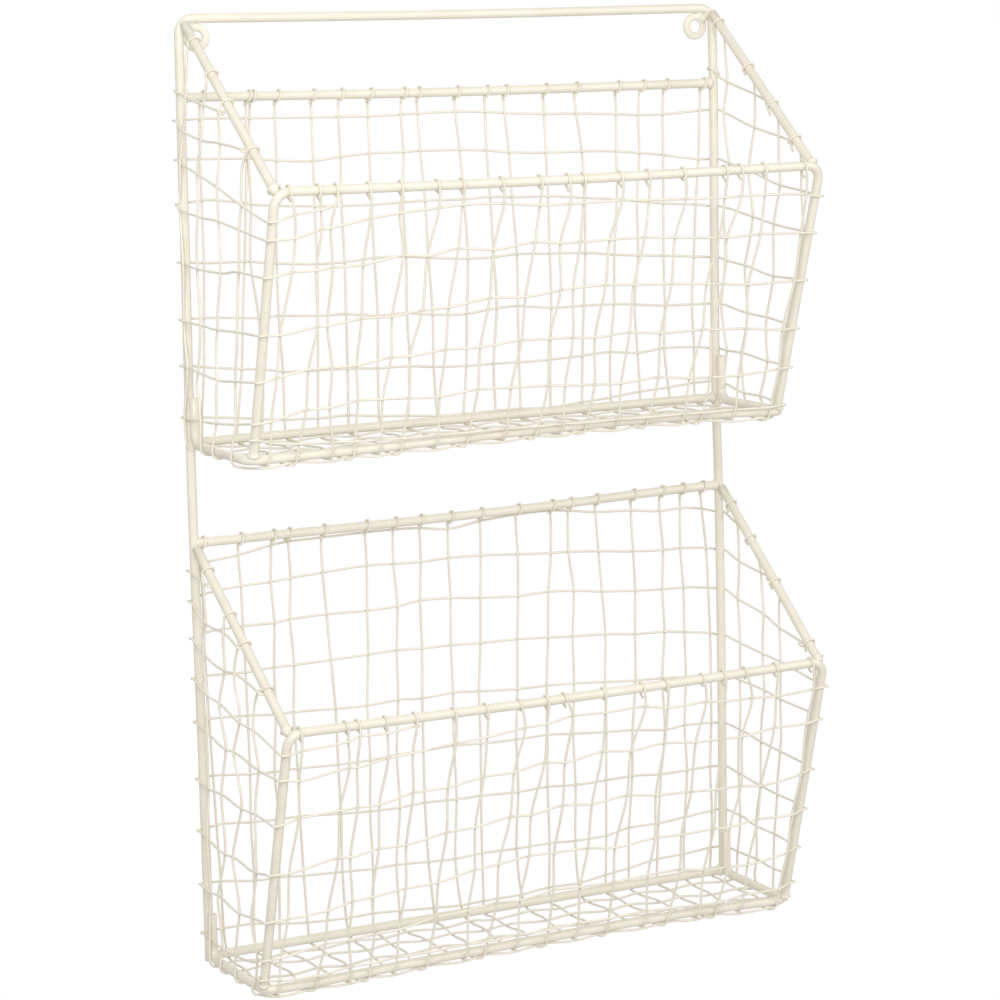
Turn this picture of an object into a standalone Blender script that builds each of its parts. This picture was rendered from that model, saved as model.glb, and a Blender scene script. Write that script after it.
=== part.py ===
"""Two-basket wall storage rack: a bent rod frame with hand-woven wire baskets.

Metres, +Z up. The rack hangs on a wall in the plane Y = 0 and its baskets lean out
towards -Y. The origin lies on the wall, midway between the two hanging eyelets.
"""

import math

import bmesh
import bpy
from mathutils import Vector

# Stock
ROD_DIAMETER = 0.006
WIRE_DIAMETER = 0.0016
TOUCH_GAP = 0.0004
CROSSING_OVERLAP = 0.0009

# Back frame
FRAME_WIDTH = 0.394
TOP_CORNER_RADIUS = 0.009
UPRIGHT_END_BELOW_FLOOR = 0.003

# Hanging eyelets
EYELET_DIAMETER = 0.0162
EYELET_HOLE_DIAMETER = 0.0080
EYELET_THICKNESS = 0.0030
EYELET_INSET = 0.0135

# Heights below the centre line of the top bar
UPPER_DIAGONAL_TOP_DROP = 0.0010
UPPER_BACK_RAIL_DROP = 0.0500
UPPER_FRONT_RAIL_DROP = 0.1020
UPPER_FLOOR_DROP = 0.2680
LOWER_DIAGONAL_TOP_DROP = 0.3320
LOWER_BACK_RAIL_DROP = 0.3310
LOWER_FRONT_RAIL_DROP = 0.4310
LOWER_FLOOR_DROP = 0.6050

# Basket depths, from the uprights' centre line
FRONT_RAIL_DEPTH = 0.1340
FLOOR_DEPTH = 0.0840
SIDE_TAPER = 0.0025
HOOP_CORNER_RADIUS = 0.0100
DIAGONAL_END_INSET = 0.0008
DIAGONAL_END_DROP = 0.0030
FLOOR_BEND_RADIUS = 0.0080
FLOOR_TAB_HEIGHT = 0.0300

# Mesh wires
RING_CORNER_RADIUS = 0.0070
SIDE_WIRE_BEND_RADIUS = 0.0050
HOOK_TAIL = 0.0030
BACK_HOOK_END_DEGREES = 232.0
FRONT_HOOK_END_DEGREES = -42.0
SIDE_HOOK_END_DEGREES = 222.0

# Where the long wires hook on, as shares of the frame's width from its left upright
UPPER_BACK_HOOK_SHARES = (
    0.038, 0.105, 0.127, 0.175, 0.235, 0.287, 0.336, 0.395, 0.427,
    0.499, 0.556, 0.592, 0.667, 0.727, 0.810, 0.862, 0.908, 0.978,
)
UPPER_FRONT_HOOK_SHARES = (
    0.036, 0.076, 0.106, 0.160, 0.216, 0.279, 0.324, 0.391, 0.459,
    0.509, 0.536, 0.604, 0.655, 0.722, 0.805, 0.830, 0.878, 0.955,
)
LOWER_BACK_HOOK_SHARES = (
    0.022, 0.084, 0.137, 0.172, 0.230, 0.313, 0.374, 0.417, 0.470,
    0.537, 0.601, 0.670, 0.704, 0.756, 0.828, 0.889, 0.929, 0.969,
)
LOWER_FRONT_HOOK_SHARES = (
    0.036, 0.098, 0.120, 0.168, 0.219, 0.288, 0.347, 0.405, 0.456,
    0.490, 0.564, 0.635, 0.681, 0.752, 0.792, 0.836, 0.896, 0.960,
)

# Side wires: where they hook on a diagonal and where they cross the floor, as shares of
# the front rail's depth
LEFT_HOOK_DEPTH_SHARES = (0.18, 0.40, 0.56, 0.79)
RIGHT_HOOK_DEPTH_SHARES = (0.15, 0.34, 0.55, 0.79)
FLOOR_DEPTH_SHARES = (0.05, 0.24, 0.42, 0.60)

# The ring wire that winds down round a basket. Its loose end on the front: share of the
# frame's width and drop. Each turn: the drops of its corners (front left, back left, back
# right, front right). Its last end: the drop at the front left. Drops are below the top
# bar, as shares of the frame's height.
UPPER_RING_START_SHARES = (0.110, 0.185)
UPPER_RING_TURN_SHARES = (
    (0.200, 0.144, 0.170, 0.203),
    (0.220, 0.190, 0.223, 0.243),
    (0.256, 0.250, 0.281, 0.296),
    (0.316, 0.311, 0.334, 0.350),
    (0.364, 0.360, 0.385, 0.393),
    (0.407, 0.415, 0.423, 0.432),
)
UPPER_RING_END_SHARE = 0.425
LOWER_RING_START_SHARES = (0.220, 0.722)
LOWER_RING_TURN_SHARES = (
    (0.736, 0.696, 0.721, 0.740),
    (0.764, 0.742, 0.769, 0.780),
    (0.815, 0.805, 0.823, 0.841),
    (0.869, 0.861, 0.876, 0.889),
    (0.922, 0.921, 0.927, 0.936),
    (0.965, 0.972, 0.974, 0.979),
)
LOWER_RING_END_SHARE = 0.988

# Ring wires that stop at a side wire on both sides: the number of the side wire that
# each end reaches, then the drops below the diagonals as shares of the frame's height
# (left end, back left, back right, right end)
UPPER_OPEN_RING_SHARES = (
    (3, (0.001, 0.102, 0.112, 0.003)),
)
LOWER_OPEN_RING_SHARES = (
    (0, (0.009, 0.028, 0.024, 0.010)),
    (2, (0.001, 0.061, 0.071, 0.007)),
    (3, (0.001, 0.102, 0.117, 0.006)),
)

# Short wires hooked round the uprights just above the upper back rail
STUB_HOOK_RISE = 0.0070
STUB_END_DROP = 0.0030
STUB_BEND_RADIUS = 0.0034

# Colour of the powder coat
COAT_COLOUR = (0.855, 0.807, 0.658, 1.0)
COAT_ROUGHNESS = 0.32
COAT_METALLIC = 0.0

# Segments
ROD_BEVEL_RESOLUTION = 3
WIRE_BEVEL_RESOLUTION = 0
BEND_STEPS = 4
RING_BEND_STEPS = 2
HOOK_STEPS = 5
WIRE_BEND_STEPS = 2
EYELET_SEGMENTS = 32
MERGE_DISTANCE = 0.00001

# Derived sizes
ROD_RADIUS = ROD_DIAMETER / 2
WIRE_RADIUS = WIRE_DIAMETER / 2
WRAP_RADIUS = ROD_RADIUS + TOUCH_GAP + WIRE_RADIUS
LAYER_STEP = WIRE_DIAMETER + TOUCH_GAP
RING_OUT = WRAP_RADIUS + WIRE_DIAMETER - CROSSING_OVERLAP
ROD_PLANE_Y = -(WRAP_RADIUS + LAYER_STEP + WIRE_RADIUS)
HALF_WIDTH = FRAME_WIDTH / 2
TOP_BAR_Z = ROD_RADIUS + TOUCH_GAP + EYELET_DIAMETER / 2
RACK_NAME = "wall_storage_rack"


def clear_scene():
    for item in list(bpy.data.objects):
        bpy.data.objects.remove(item, do_unlink=True)


def new_collection(name):
    collection = bpy.data.collections.new(name)
    bpy.context.scene.collection.children.link(collection)
    return collection


def new_empty(name, collection, location, parent=None):
    empty = bpy.data.objects.new(name, None)
    empty.location = location
    empty.parent = parent
    collection.objects.link(empty)
    return empty


def coat_material(name):
    material = bpy.data.materials.new(name + "_coat")
    material.use_nodes = True
    shader = material.node_tree.nodes["Principled BSDF"]
    shader.inputs["Base Color"].default_value = COAT_COLOUR
    shader.inputs["Roughness"].default_value = COAT_ROUGHNESS
    shader.inputs["Metallic"].default_value = COAT_METALLIC
    material.diffuse_color = COAT_COLOUR
    return material


def rounded(corners, radius, steps):
    """Points along a bent rod, each inner corner replaced by an arc."""
    points = [corners[0]]
    for before, corner, after in zip(corners, corners[1:], corners[2:]):
        back = (before - corner).normalized()
        ahead = (after - corner).normalized()
        half_angle = back.angle(ahead) / 2
        reach = radius / math.tan(half_angle)
        centre = corner + (back + ahead).normalized() * (radius / math.sin(half_angle))
        first = (corner + back * reach - centre).normalized()
        last = (corner + ahead * reach - centre).normalized()
        for step in range(steps + 1):
            points.append(centre + first.slerp(last, step / steps) * radius)
    points.append(corners[-1])
    return points


def wrap(centre_u, centre_z, radius, start_degrees, end_degrees, steps, stretch=1.0):
    """Corners of a wire bent round a rod, every straight of it tangent to the radius."""
    pitch = (end_degrees - start_degrees) / steps
    reach = radius / math.cos(math.radians(pitch / 2))
    corners = []
    for step in range(steps):
        angle = math.radians(start_degrees + (step + 0.5) * pitch)
        corners.append((
            centre_u + reach * math.cos(angle),
            centre_z + reach * math.sin(angle) * stretch,
        ))
    return corners


def tail(corners, length):
    """The corners again, with a straight end that runs on from the last bend."""
    (u0, z0), (u1, z1) = corners[-2], corners[-1]
    span = math.hypot(u1 - u0, z1 - z0)
    return corners + [(u1 + (u1 - u0) / span * length, z1 + (z1 - z0) / span * length)]


def make_curve(name, points, radius, resolution, collection, parent):
    data = bpy.data.curves.new(name, "CURVE")
    data.dimensions = "3D"
    data.bevel_depth = radius
    data.bevel_resolution = resolution
    data.use_fill_caps = True
    spline = data.splines.new("POLY")
    spline.points.add(len(points) - 1)
    for slot, point in zip(spline.points, points):
        slot.co = (point[0], point[1], point[2], 1.0)
    item = bpy.data.objects.new(name, data)
    item.parent = parent
    collection.objects.link(item)
    return item


def make_rod(name, points, collection, parent):
    rod = make_curve(name, points, ROD_RADIUS, ROD_BEVEL_RESOLUTION, collection, parent)
    rod.data.materials.append(coat_material(name))
    return rod


def make_wire(name, points, collection, parent):
    return make_curve(name, points, WIRE_RADIUS, WIRE_BEVEL_RESOLUTION, collection, parent)


def curve_to_mesh_object(item, collection, parent):
    """Swap a curve object for the mesh of its own shape."""
    bpy.context.view_layer.update()
    evaluated = item.evaluated_get(bpy.context.evaluated_depsgraph_get())
    mesh = bpy.data.meshes.new_from_object(evaluated)
    name = item.name
    bpy.data.objects.remove(item, do_unlink=True)
    shape = bmesh.new()
    shape.from_mesh(mesh)
    bmesh.ops.remove_doubles(shape, verts=shape.verts, dist=MERGE_DISTANCE)
    bmesh.ops.recalc_face_normals(shape, faces=shape.faces)
    shape.to_mesh(mesh)
    shape.free()
    swapped = bpy.data.objects.new(name, mesh)
    swapped.parent = parent
    collection.objects.link(swapped)
    return swapped


def union(target, others, cutters):
    """Join wires that cross into one welded net."""
    for other in others:
        for owner in list(other.users_collection):
            owner.objects.unlink(other)
        cutters.objects.link(other)
        other.hide_render = True
        other.display_type = "WIRE"
        modifier = target.modifiers.new("weld_" + other.name, "BOOLEAN")
        modifier.operation = "UNION"
        modifier.solver = "EXACT"
        modifier.object = other


def side_x(depth):
    """Half the rack's width at a depth in front of the uprights."""
    return HALF_WIDTH - SIDE_TAPER * depth / FRONT_RAIL_DEPTH


def build_back_frame(collection, rack):
    end_z = TOP_BAR_Z - LOWER_FLOOR_DROP - UPRIGHT_END_BELOW_FLOOR
    corners = [
        Vector((-HALF_WIDTH, ROD_PLANE_Y, end_z)),
        Vector((-HALF_WIDTH, ROD_PLANE_Y, TOP_BAR_Z)),
        Vector((HALF_WIDTH, ROD_PLANE_Y, TOP_BAR_Z)),
        Vector((HALF_WIDTH, ROD_PLANE_Y, end_z)),
    ]
    points = rounded(corners, TOP_CORNER_RADIUS, BEND_STEPS)
    make_rod("back_frame", points, collection, rack)


def build_eyelets(collection, cutters, rack):
    for side, sign in (("left", -1), ("right", 1)):
        name = "hang_eyelet_" + side
        place = (sign * (HALF_WIDTH - EYELET_INSET), ROD_PLANE_Y, 0)
        bpy.ops.mesh.primitive_cylinder_add(
            vertices=EYELET_SEGMENTS,
            radius=EYELET_DIAMETER / 2,
            depth=EYELET_THICKNESS,
            location=place,
            rotation=(math.radians(90), 0, 0),
        )
        disc = bpy.context.object
        disc.name = name
        disc.parent = rack
        bpy.ops.mesh.primitive_cylinder_add(
            vertices=EYELET_SEGMENTS,
            radius=EYELET_HOLE_DIAMETER / 2,
            depth=EYELET_THICKNESS * 3,
            location=place,
            rotation=(math.radians(90), 0, 0),
        )
        bore = bpy.context.object
        bore.name = "bore_" + side
        bore.hide_render = True
        bore.display_type = "WIRE"
        for item, home in ((disc, collection), (bore, cutters)):
            for owner in list(item.users_collection):
                owner.objects.unlink(item)
            home.objects.link(item)
        modifier = disc.modifiers.new("bore", "BOOLEAN")
        modifier.operation = "DIFFERENCE"
        modifier.solver = "EXACT"
        modifier.object = bore
        disc.data.materials.append(coat_material(name))


class Basket:
    """Sizes of one basket, measured from its floor rods and from the uprights' plane."""

    def __init__(self, name, drops, back_shares, front_shares, ring, open_rings, stub_sides):
        diagonal_drop, back_drop, front_drop, floor_drop = drops
        self.name = name
        self.floor_drop = floor_drop
        self.diagonal_z = floor_drop - diagonal_drop
        self.back_z = floor_drop - back_drop
        self.front_z = floor_drop - front_drop
        self.back_shares = back_shares
        self.front_shares = front_shares
        self.ring_start, self.ring_turns, self.ring_end = ring
        self.open_rings = open_rings
        self.stub_sides = stub_sides
        self.lean = math.atan2(FRONT_RAIL_DEPTH - FLOOR_DEPTH, self.front_z)
        diagonal_end_z = self.front_z - DIAGONAL_END_DROP
        self.slope = math.atan2(self.diagonal_z - diagonal_end_z, FRONT_RAIL_DEPTH)

    def level(self, share):
        """Height above the floor rods of a drop given as a share of the frame."""
        return self.floor_drop - share * LOWER_FLOOR_DROP

    def front_depth(self, z):
        """Depth of the front rods' plane at a height above the floor rods."""
        return FLOOR_DEPTH + z * math.tan(self.lean)

    def diagonal_height(self, depth):
        return self.diagonal_z - depth * math.tan(self.slope)


def diagonal_x(depth):
    """Half the distance between the two diagonals at a depth."""
    return side_x(depth) - DIAGONAL_END_INSET * depth / FRONT_RAIL_DEPTH


def build_rods(basket, collection, home):
    name = basket.name
    rail_end = HALF_WIDTH - ROD_RADIUS - TOUCH_GAP
    for part, height in (("_back_rail", basket.back_z), ("_floor_back_rail", 0)):
        ends = [Vector((-rail_end, 0, height)), Vector((rail_end, 0, height))]
        make_rod(name + part, ends, collection, home)

    front_x = side_x(FRONT_RAIL_DEPTH)
    corner_inset = FLOOR_BEND_RADIUS * (math.sqrt(2) - 1) * math.sqrt(0.5)
    foot_x = side_x(FLOOR_DEPTH) - corner_inset
    foot_depth = FLOOR_DEPTH - corner_inset
    foot_z = ROD_RADIUS + TOUCH_GAP + ROD_RADIUS * math.sin(basket.lean)
    hoop = [
        Vector((-foot_x, -foot_depth, foot_z)),
        Vector((-front_x, -FRONT_RAIL_DEPTH, basket.front_z)),
        Vector((front_x, -FRONT_RAIL_DEPTH, basket.front_z)),
        Vector((foot_x, -foot_depth, foot_z)),
    ]
    make_rod(
        name + "_front_hoop", rounded(hoop, HOOP_CORNER_RADIUS, BEND_STEPS), collection, home
    )

    tab_y = -(ROD_DIAMETER + TOUCH_GAP)
    ring_x = side_x(FLOOR_DEPTH)
    ring = [
        Vector((-HALF_WIDTH, tab_y, FLOOR_TAB_HEIGHT)),
        Vector((-HALF_WIDTH, tab_y, 0)),
        Vector((-ring_x, -FLOOR_DEPTH, 0)),
        Vector((ring_x, -FLOOR_DEPTH, 0)),
        Vector((HALF_WIDTH, tab_y, 0)),
        Vector((HALF_WIDTH, tab_y, FLOOR_TAB_HEIGHT)),
    ]
    make_rod(
        name + "_floor_ring", rounded(ring, FLOOR_BEND_RADIUS, BEND_STEPS), collection, home
    )

    slope = basket.slope
    along = Vector((0, -math.cos(slope), -math.sin(slope)))
    start_y = -(ROD_RADIUS + TOUCH_GAP + ROD_RADIUS * math.sin(slope))
    stop = (ROD_RADIUS + TOUCH_GAP + ROD_RADIUS * abs(math.tan(basket.lean - slope)))
    stop = stop / math.cos(basket.lean - slope)
    for side, sign in (("left", -1), ("right", 1)):
        start = Vector((sign * HALF_WIDTH, start_y, basket.diagonal_height(-start_y)))
        end = Vector((
            sign * diagonal_x(FRONT_RAIL_DEPTH),
            -FRONT_RAIL_DEPTH,
            basket.diagonal_height(FRONT_RAIL_DEPTH),
        ))
        end = end - along * stop
        make_rod(name + "_diagonal_" + side, [start, end], collection, home)


def build_long_wires(basket, collection, home):
    """Wires from the back rail, down the back, under the floor and up the front."""
    lean_degrees = math.degrees(basket.lean)
    front_start = 180 + lean_degrees
    back_hook = wrap(
        0, basket.back_z, WRAP_RADIUS, 0, BACK_HOOK_END_DEGREES, HOOK_STEPS
    )
    back_hook = tail(back_hook, WIRE_DIAMETER)
    back_hook.reverse()
    back_bend = wrap(0, 0, WRAP_RADIUS, 0, -90, WIRE_BEND_STEPS)
    front_bend = wrap(
        -FLOOR_DEPTH, 0, WRAP_RADIUS, -90, front_start - 360, WIRE_BEND_STEPS
    )
    front_hook = wrap(
        -FRONT_RAIL_DEPTH,
        basket.front_z,
        WRAP_RADIUS,
        front_start,
        FRONT_HOOK_END_DEGREES,
        HOOK_STEPS,
    )
    front_hook = tail(front_hook, HOOK_TAIL)
    for number, shares in enumerate(zip(basket.back_shares, basket.front_shares), 1):
        back_x = (shares[0] - 0.5) * FRAME_WIDTH
        front_x = (shares[1] - 0.5) * FRAME_WIDTH
        points = [Vector((back_x, y, z)) for y, z in back_hook + back_bend]
        points += [Vector((front_x, y, z)) for y, z in front_bend + front_hook]
        name = f"{basket.name}_long_wire_{number:02d}"
        wire = make_wire(name, points, collection, home)
        wire.data.materials.append(coat_material(name))


def side_wire_half(basket, sign, hook_depth, floor_depth):
    """One side of a side wire, from its hook on the diagonal down to the floor."""
    hook = wrap(
        0,
        basket.diagonal_height(hook_depth),
        WRAP_RADIUS,
        0,
        SIDE_HOOK_END_DEGREES,
        HOOK_STEPS,
        1 / math.cos(basket.slope),
    )
    hook = tail(hook, HOOK_TAIL)
    hook.reverse()
    bend = wrap(
        WRAP_RADIUS - SIDE_WIRE_BEND_RADIUS,
        SIDE_WIRE_BEND_RADIUS - WRAP_RADIUS - LAYER_STEP,
        SIDE_WIRE_BEND_RADIUS,
        0,
        -90,
        WIRE_BEND_STEPS,
    )
    points = [
        Vector((sign * (diagonal_x(hook_depth) + u), -hook_depth, z)) for u, z in hook
    ]
    points += [
        Vector((sign * (side_x(floor_depth) + u), -floor_depth, z)) for u, z in bend
    ]
    return points


def ring_depth(basket, front, height):
    """Depth of a ring wire that lies outside the long wires, at the front or the back."""
    if front:
        return basket.front_depth(height) + (WRAP_RADIUS + LAYER_STEP) / math.cos(basket.lean)
    return -(WRAP_RADIUS + LAYER_STEP)


def ring_corner(basket, side, front, height):
    """A ring wire's corner, outside the long wires and on the side wires."""
    depth = ring_depth(basket, front, height)
    return Vector((side * (side_x(max(depth, 0)) + RING_OUT), -depth, height))


def ring_points(basket):
    """The wire that winds down round a basket from a loose end on its front."""
    start_share, start_level = basket.ring_start
    height = basket.level(start_level)
    start_x = (start_share - 0.5) * FRAME_WIDTH
    corners = [Vector((start_x, -ring_depth(basket, True, height), height))]
    for turn in basket.ring_turns:
        front_left, back_left, back_right, front_right = [basket.level(s) for s in turn]
        corners.append(ring_corner(basket, -1, True, front_left))
        corners.append(ring_corner(basket, -1, False, back_left))
        corners.append(ring_corner(basket, 1, False, back_right))
        corners.append(ring_corner(basket, 1, True, front_right))
    last = ring_corner(basket, -1, True, basket.level(basket.ring_end))
    corners.append(last)
    corners.append(last + Vector((0, RING_CORNER_RADIUS + WIRE_RADIUS, 0)))
    return rounded(corners, RING_CORNER_RADIUS, RING_BEND_STEPS)


def open_ring_points(basket, reached, shares):
    """A ring wire that leaves the front open, between two side wires."""
    drops = [share * LOWER_FLOOR_DROP for share in shares]
    ends = []
    for sign, depths, drop in (
        (-1, LEFT_HOOK_DEPTH_SHARES, drops[0]),
        (1, RIGHT_HOOK_DEPTH_SHARES, drops[3]),
    ):
        depth = depths[reached] * FRONT_RAIL_DEPTH + WIRE_DIAMETER
        height = basket.diagonal_height(depth) - drop
        ends.append(Vector((sign * (side_x(depth) + RING_OUT), -depth, height)))
    corners = [
        ends[0],
        ring_corner(basket, -1, False, basket.diagonal_z - drops[1]),
        ring_corner(basket, 1, False, basket.diagonal_z - drops[2]),
        ends[1],
    ]
    return rounded(corners, RING_CORNER_RADIUS, RING_BEND_STEPS)


def stub_points(basket, sign):
    """A short wire hooked round an upright, that runs to the last side wire but one."""
    depths = LEFT_HOOK_DEPTH_SHARES if sign < 0 else RIGHT_HOOK_DEPTH_SHARES
    depth = depths[-2] * FRONT_RAIL_DEPTH + WIRE_DIAMETER
    hook_z = basket.back_z + STUB_HOOK_RISE
    end_z = basket.diagonal_height(depth) - STUB_END_DROP
    corners = [
        Vector((sign * (HALF_WIDTH - WRAP_RADIUS), 0, hook_z)),
        Vector((sign * (HALF_WIDTH - WRAP_RADIUS), WRAP_RADIUS, hook_z)),
        Vector((sign * (HALF_WIDTH + RING_OUT), WRAP_RADIUS, hook_z)),
        Vector((sign * (side_x(depth) + RING_OUT), -depth, end_z)),
    ]
    return rounded(corners, STUB_BEND_RADIUS, RING_BEND_STEPS)


def build_net(basket, collection, cutters, home):
    """The ring, side and stub wires of a basket, welded where they cross."""
    name = basket.name + "_ring_net"
    ring = make_wire(name, ring_points(basket), collection, home)
    net = curve_to_mesh_object(ring, collection, home)
    others = []
    for number, shares in enumerate(
        zip(LEFT_HOOK_DEPTH_SHARES, RIGHT_HOOK_DEPTH_SHARES, FLOOR_DEPTH_SHARES), 1
    ):
        left, right, floor = [share * FRONT_RAIL_DEPTH for share in shares]
        points = side_wire_half(basket, -1, left, floor)
        points += reversed(side_wire_half(basket, 1, right, floor))
        others.append(make_wire(f"{name}_side_wire_{number}", points, collection, home))
    for number, (reached, shares) in enumerate(basket.open_rings, 1):
        points = open_ring_points(basket, reached, shares)
        others.append(make_wire(f"{name}_open_ring_{number}", points, collection, home))
    for number, sign in enumerate(basket.stub_sides, 1):
        points = stub_points(basket, sign)
        others.append(make_wire(f"{name}_stub_{number}", points, collection, home))
    others = [curve_to_mesh_object(wire, collection, home) for wire in others]
    union(net, others, cutters)
    net.data.materials.clear()
    net.data.materials.append(coat_material(name))


def main():
    clear_scene()
    collection = new_collection(RACK_NAME)
    cutters = new_collection(RACK_NAME + "_cutters")
    rack = new_empty(RACK_NAME, collection, (0, 0, 0))
    build_back_frame(collection, rack)
    build_eyelets(collection, cutters, rack)
    baskets = (
        Basket(
            "upper",
            (
                UPPER_DIAGONAL_TOP_DROP,
                UPPER_BACK_RAIL_DROP,
                UPPER_FRONT_RAIL_DROP,
                UPPER_FLOOR_DROP,
            ),
            UPPER_BACK_HOOK_SHARES,
            UPPER_FRONT_HOOK_SHARES,
            (UPPER_RING_START_SHARES, UPPER_RING_TURN_SHARES, UPPER_RING_END_SHARE),
            UPPER_OPEN_RING_SHARES,
            (-1, 1),
        ),
        Basket(
            "lower",
            (
                LOWER_DIAGONAL_TOP_DROP,
                LOWER_BACK_RAIL_DROP,
                LOWER_FRONT_RAIL_DROP,
                LOWER_FLOOR_DROP,
            ),
            LOWER_BACK_HOOK_SHARES,
            LOWER_FRONT_HOOK_SHARES,
            (LOWER_RING_START_SHARES, LOWER_RING_TURN_SHARES, LOWER_RING_END_SHARE),
            LOWER_OPEN_RING_SHARES,
            (),
        ),
    )
    for basket in baskets:
        place = (0, ROD_PLANE_Y, TOP_BAR_Z - basket.floor_drop)
        home = new_empty(basket.name + "_basket", collection, place, rack)
        build_rods(basket, collection, home)
        build_long_wires(basket, collection, home)
        build_net(basket, collection, cutters, home)


main()
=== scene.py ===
"""Looks of the wall storage rack: coated rods, hand-woven wires, their hooks and the welds.

Metres, +Z up, the wall in the plane Y = 0 and the room towards -Y.
"""

import math

import bpy
import numpy as np
from mathutils import Matrix, Vector


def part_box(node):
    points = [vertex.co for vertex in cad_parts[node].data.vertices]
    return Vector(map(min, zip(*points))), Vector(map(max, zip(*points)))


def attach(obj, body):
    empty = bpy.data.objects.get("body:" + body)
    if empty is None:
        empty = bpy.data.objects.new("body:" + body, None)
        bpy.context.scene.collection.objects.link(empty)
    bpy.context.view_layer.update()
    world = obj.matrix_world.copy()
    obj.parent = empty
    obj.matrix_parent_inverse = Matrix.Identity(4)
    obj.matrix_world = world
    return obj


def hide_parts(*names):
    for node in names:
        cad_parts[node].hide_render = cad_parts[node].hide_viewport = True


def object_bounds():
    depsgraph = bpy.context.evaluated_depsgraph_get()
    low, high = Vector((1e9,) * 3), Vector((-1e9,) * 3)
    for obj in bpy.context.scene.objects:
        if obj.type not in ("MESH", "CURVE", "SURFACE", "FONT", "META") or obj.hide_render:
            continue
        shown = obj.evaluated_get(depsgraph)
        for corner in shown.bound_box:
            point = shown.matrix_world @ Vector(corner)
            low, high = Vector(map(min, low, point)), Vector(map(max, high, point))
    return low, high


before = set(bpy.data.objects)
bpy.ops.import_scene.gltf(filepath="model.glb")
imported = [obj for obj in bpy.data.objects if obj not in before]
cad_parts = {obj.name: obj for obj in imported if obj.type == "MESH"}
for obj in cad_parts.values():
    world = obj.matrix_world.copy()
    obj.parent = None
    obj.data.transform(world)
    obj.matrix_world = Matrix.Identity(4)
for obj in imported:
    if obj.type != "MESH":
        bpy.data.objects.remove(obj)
cad_low, cad_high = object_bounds()

# Stock
ROD_RADIUS = 0.003
WIRE_RADIUS = 0.0008
WRAP_RADIUS = ROD_RADIUS + WIRE_RADIUS
ROD_SIDES = 20
WIRE_SIDES = 8
# Cut ends: how far they are rounded off, in radii, and the shares of that length and of the
# radius at the two rings of the rounding
ROD_TIP = 0.25
WIRE_TIP = 0.5
TIP_SHARES = ((0.55, 0.8), (1, 0.35))
# A direction that no rod or wire starts along
SIDEWAYS = (0.31, 0.52, 0.79)

# Bends of the rods
TOP_CORNER_RADIUS = 0.0095
HOOP_CORNER_RADIUS = 0.0100
FLOOR_BEND_RADIUS = 0.0080
ROD_BEND_STEPS = 8
TAB_RISE = 0.0300
DIAGONAL_TOP_DROPS = {
    "upper": {"left": 0.0010, "right": 0.0010},
    "lower": {"left": 0.3320, "right": 0.3270},
}
DIAGONAL_END_DROP = 0.0030
DIAGONAL_START = 0.0036
# How finely they are divided, so that they can stray
ROD_STEP = 0.012
RAIL_POINTS = 33
FLOOR_RAIL_POINTS = 17
DIAGONAL_POINTS = 9

# How the rods stray from true, as shares of the rod's radius at shares of the way along.
# Uprights, from the top, and the front corner posts, from the foot: to the right
UPRIGHT_STRAY_SHARES = {
    "left": (
        (0, 0.30), (0.12, 0.10), (0.24, 0), (0.36, -0.23), (0.47, -0.38), (0.56, -0.38),
        (0.65, -0.25), (0.76, -0.10), (1, -0.07),
    ),
    "right": (
        (0, -0.30), (0.10, -0.03), (0.20, -0.13), (0.37, -0.30), (0.47, -0.13), (0.53, 0.17),
        (0.62, 0.37), (1, 0.37),
    ),
}
POST_STRAY_SHARES = {
    "upper": {"left": ((0, 1.30), (1, 0)), "right": ((0, -1.13), (0.5, -0.80), (1, -0.15))},
    "lower": {"left": ((0, 0.20), (0.2, -0.45), (1, -0.83)), "right": ((0, -0.30), (1, 0))},
}
# How far back from the front bar each post stands on the floor ring's bend
FOOT_BACK_SHARES = {
    "upper": {"left": 0.35, "right": 0.45}, "lower": {"left": 1.30, "right": 0.30},
}
# Diagonals, from the wall: towards the middle
DIAGONAL_INSET_SHARES = {
    "upper": {
        "left": ((0, 1.10), (0.2, 1.03), (0.5, 0.77), (1, 0.58)),
        "right": ((0, 0.80), (0.5, 1.07), (1, 1.40)),
    },
    "lower": {
        "left": ((0, -0.28), (0.5, -0.25), (1, -0.28)),
        "right": ((0, -0.33), (0.6, 0.20), (1, 0.65)),
    },
}
# Rails, from the left: upwards
RAIL_RISE_SHARES = {
    "upper": {
        "back": ((0, 0.37), (0.5, -0.33), (1, -0.23)),
        "front": ((0, -0.33), (0.5, -0.67), (1, -0.13)),
        "floor": ((0, -0.60), (0.31, 0), (0.41, 0.30), (0.6, 0.67), (0.85, 0.60), (1, -0.20)),
        "floor_back": ((0, 0.40), (1, 0.40)),
    },
    "lower": {
        "back": ((0, -0.23), (0.5, -0.20), (0.65, 0), (0.85, 0.63), (1, 0.93)),
        "front": ((0, -0.10), (0.5, -0.47), (1, 0.10)),
        "floor": ((0, -0.45), (0.1, -0.43), (0.25, 0), (0.65, 0.57), (0.8, 0.50), (1, -0.35)),
        "floor_back": ((0, 0.27), (1, 0.27)),
    },
}
TOP_BAR_RISE_SHARES = ((0, 0), (0.5, -0.27), (1, 0))

# Welds: how far a rod spreads into its joint and by what share of its radius, its width at
# the very end, and how steeply the spread comes and goes
WELD_REACH = 0.0048
WELD_SPREAD = 0.45
WELD_END_SHARE = 0.9
WELD_RISE_POWER = 4
WELD_FALL_POWER = 3
WELD_STEPS = 13

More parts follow.
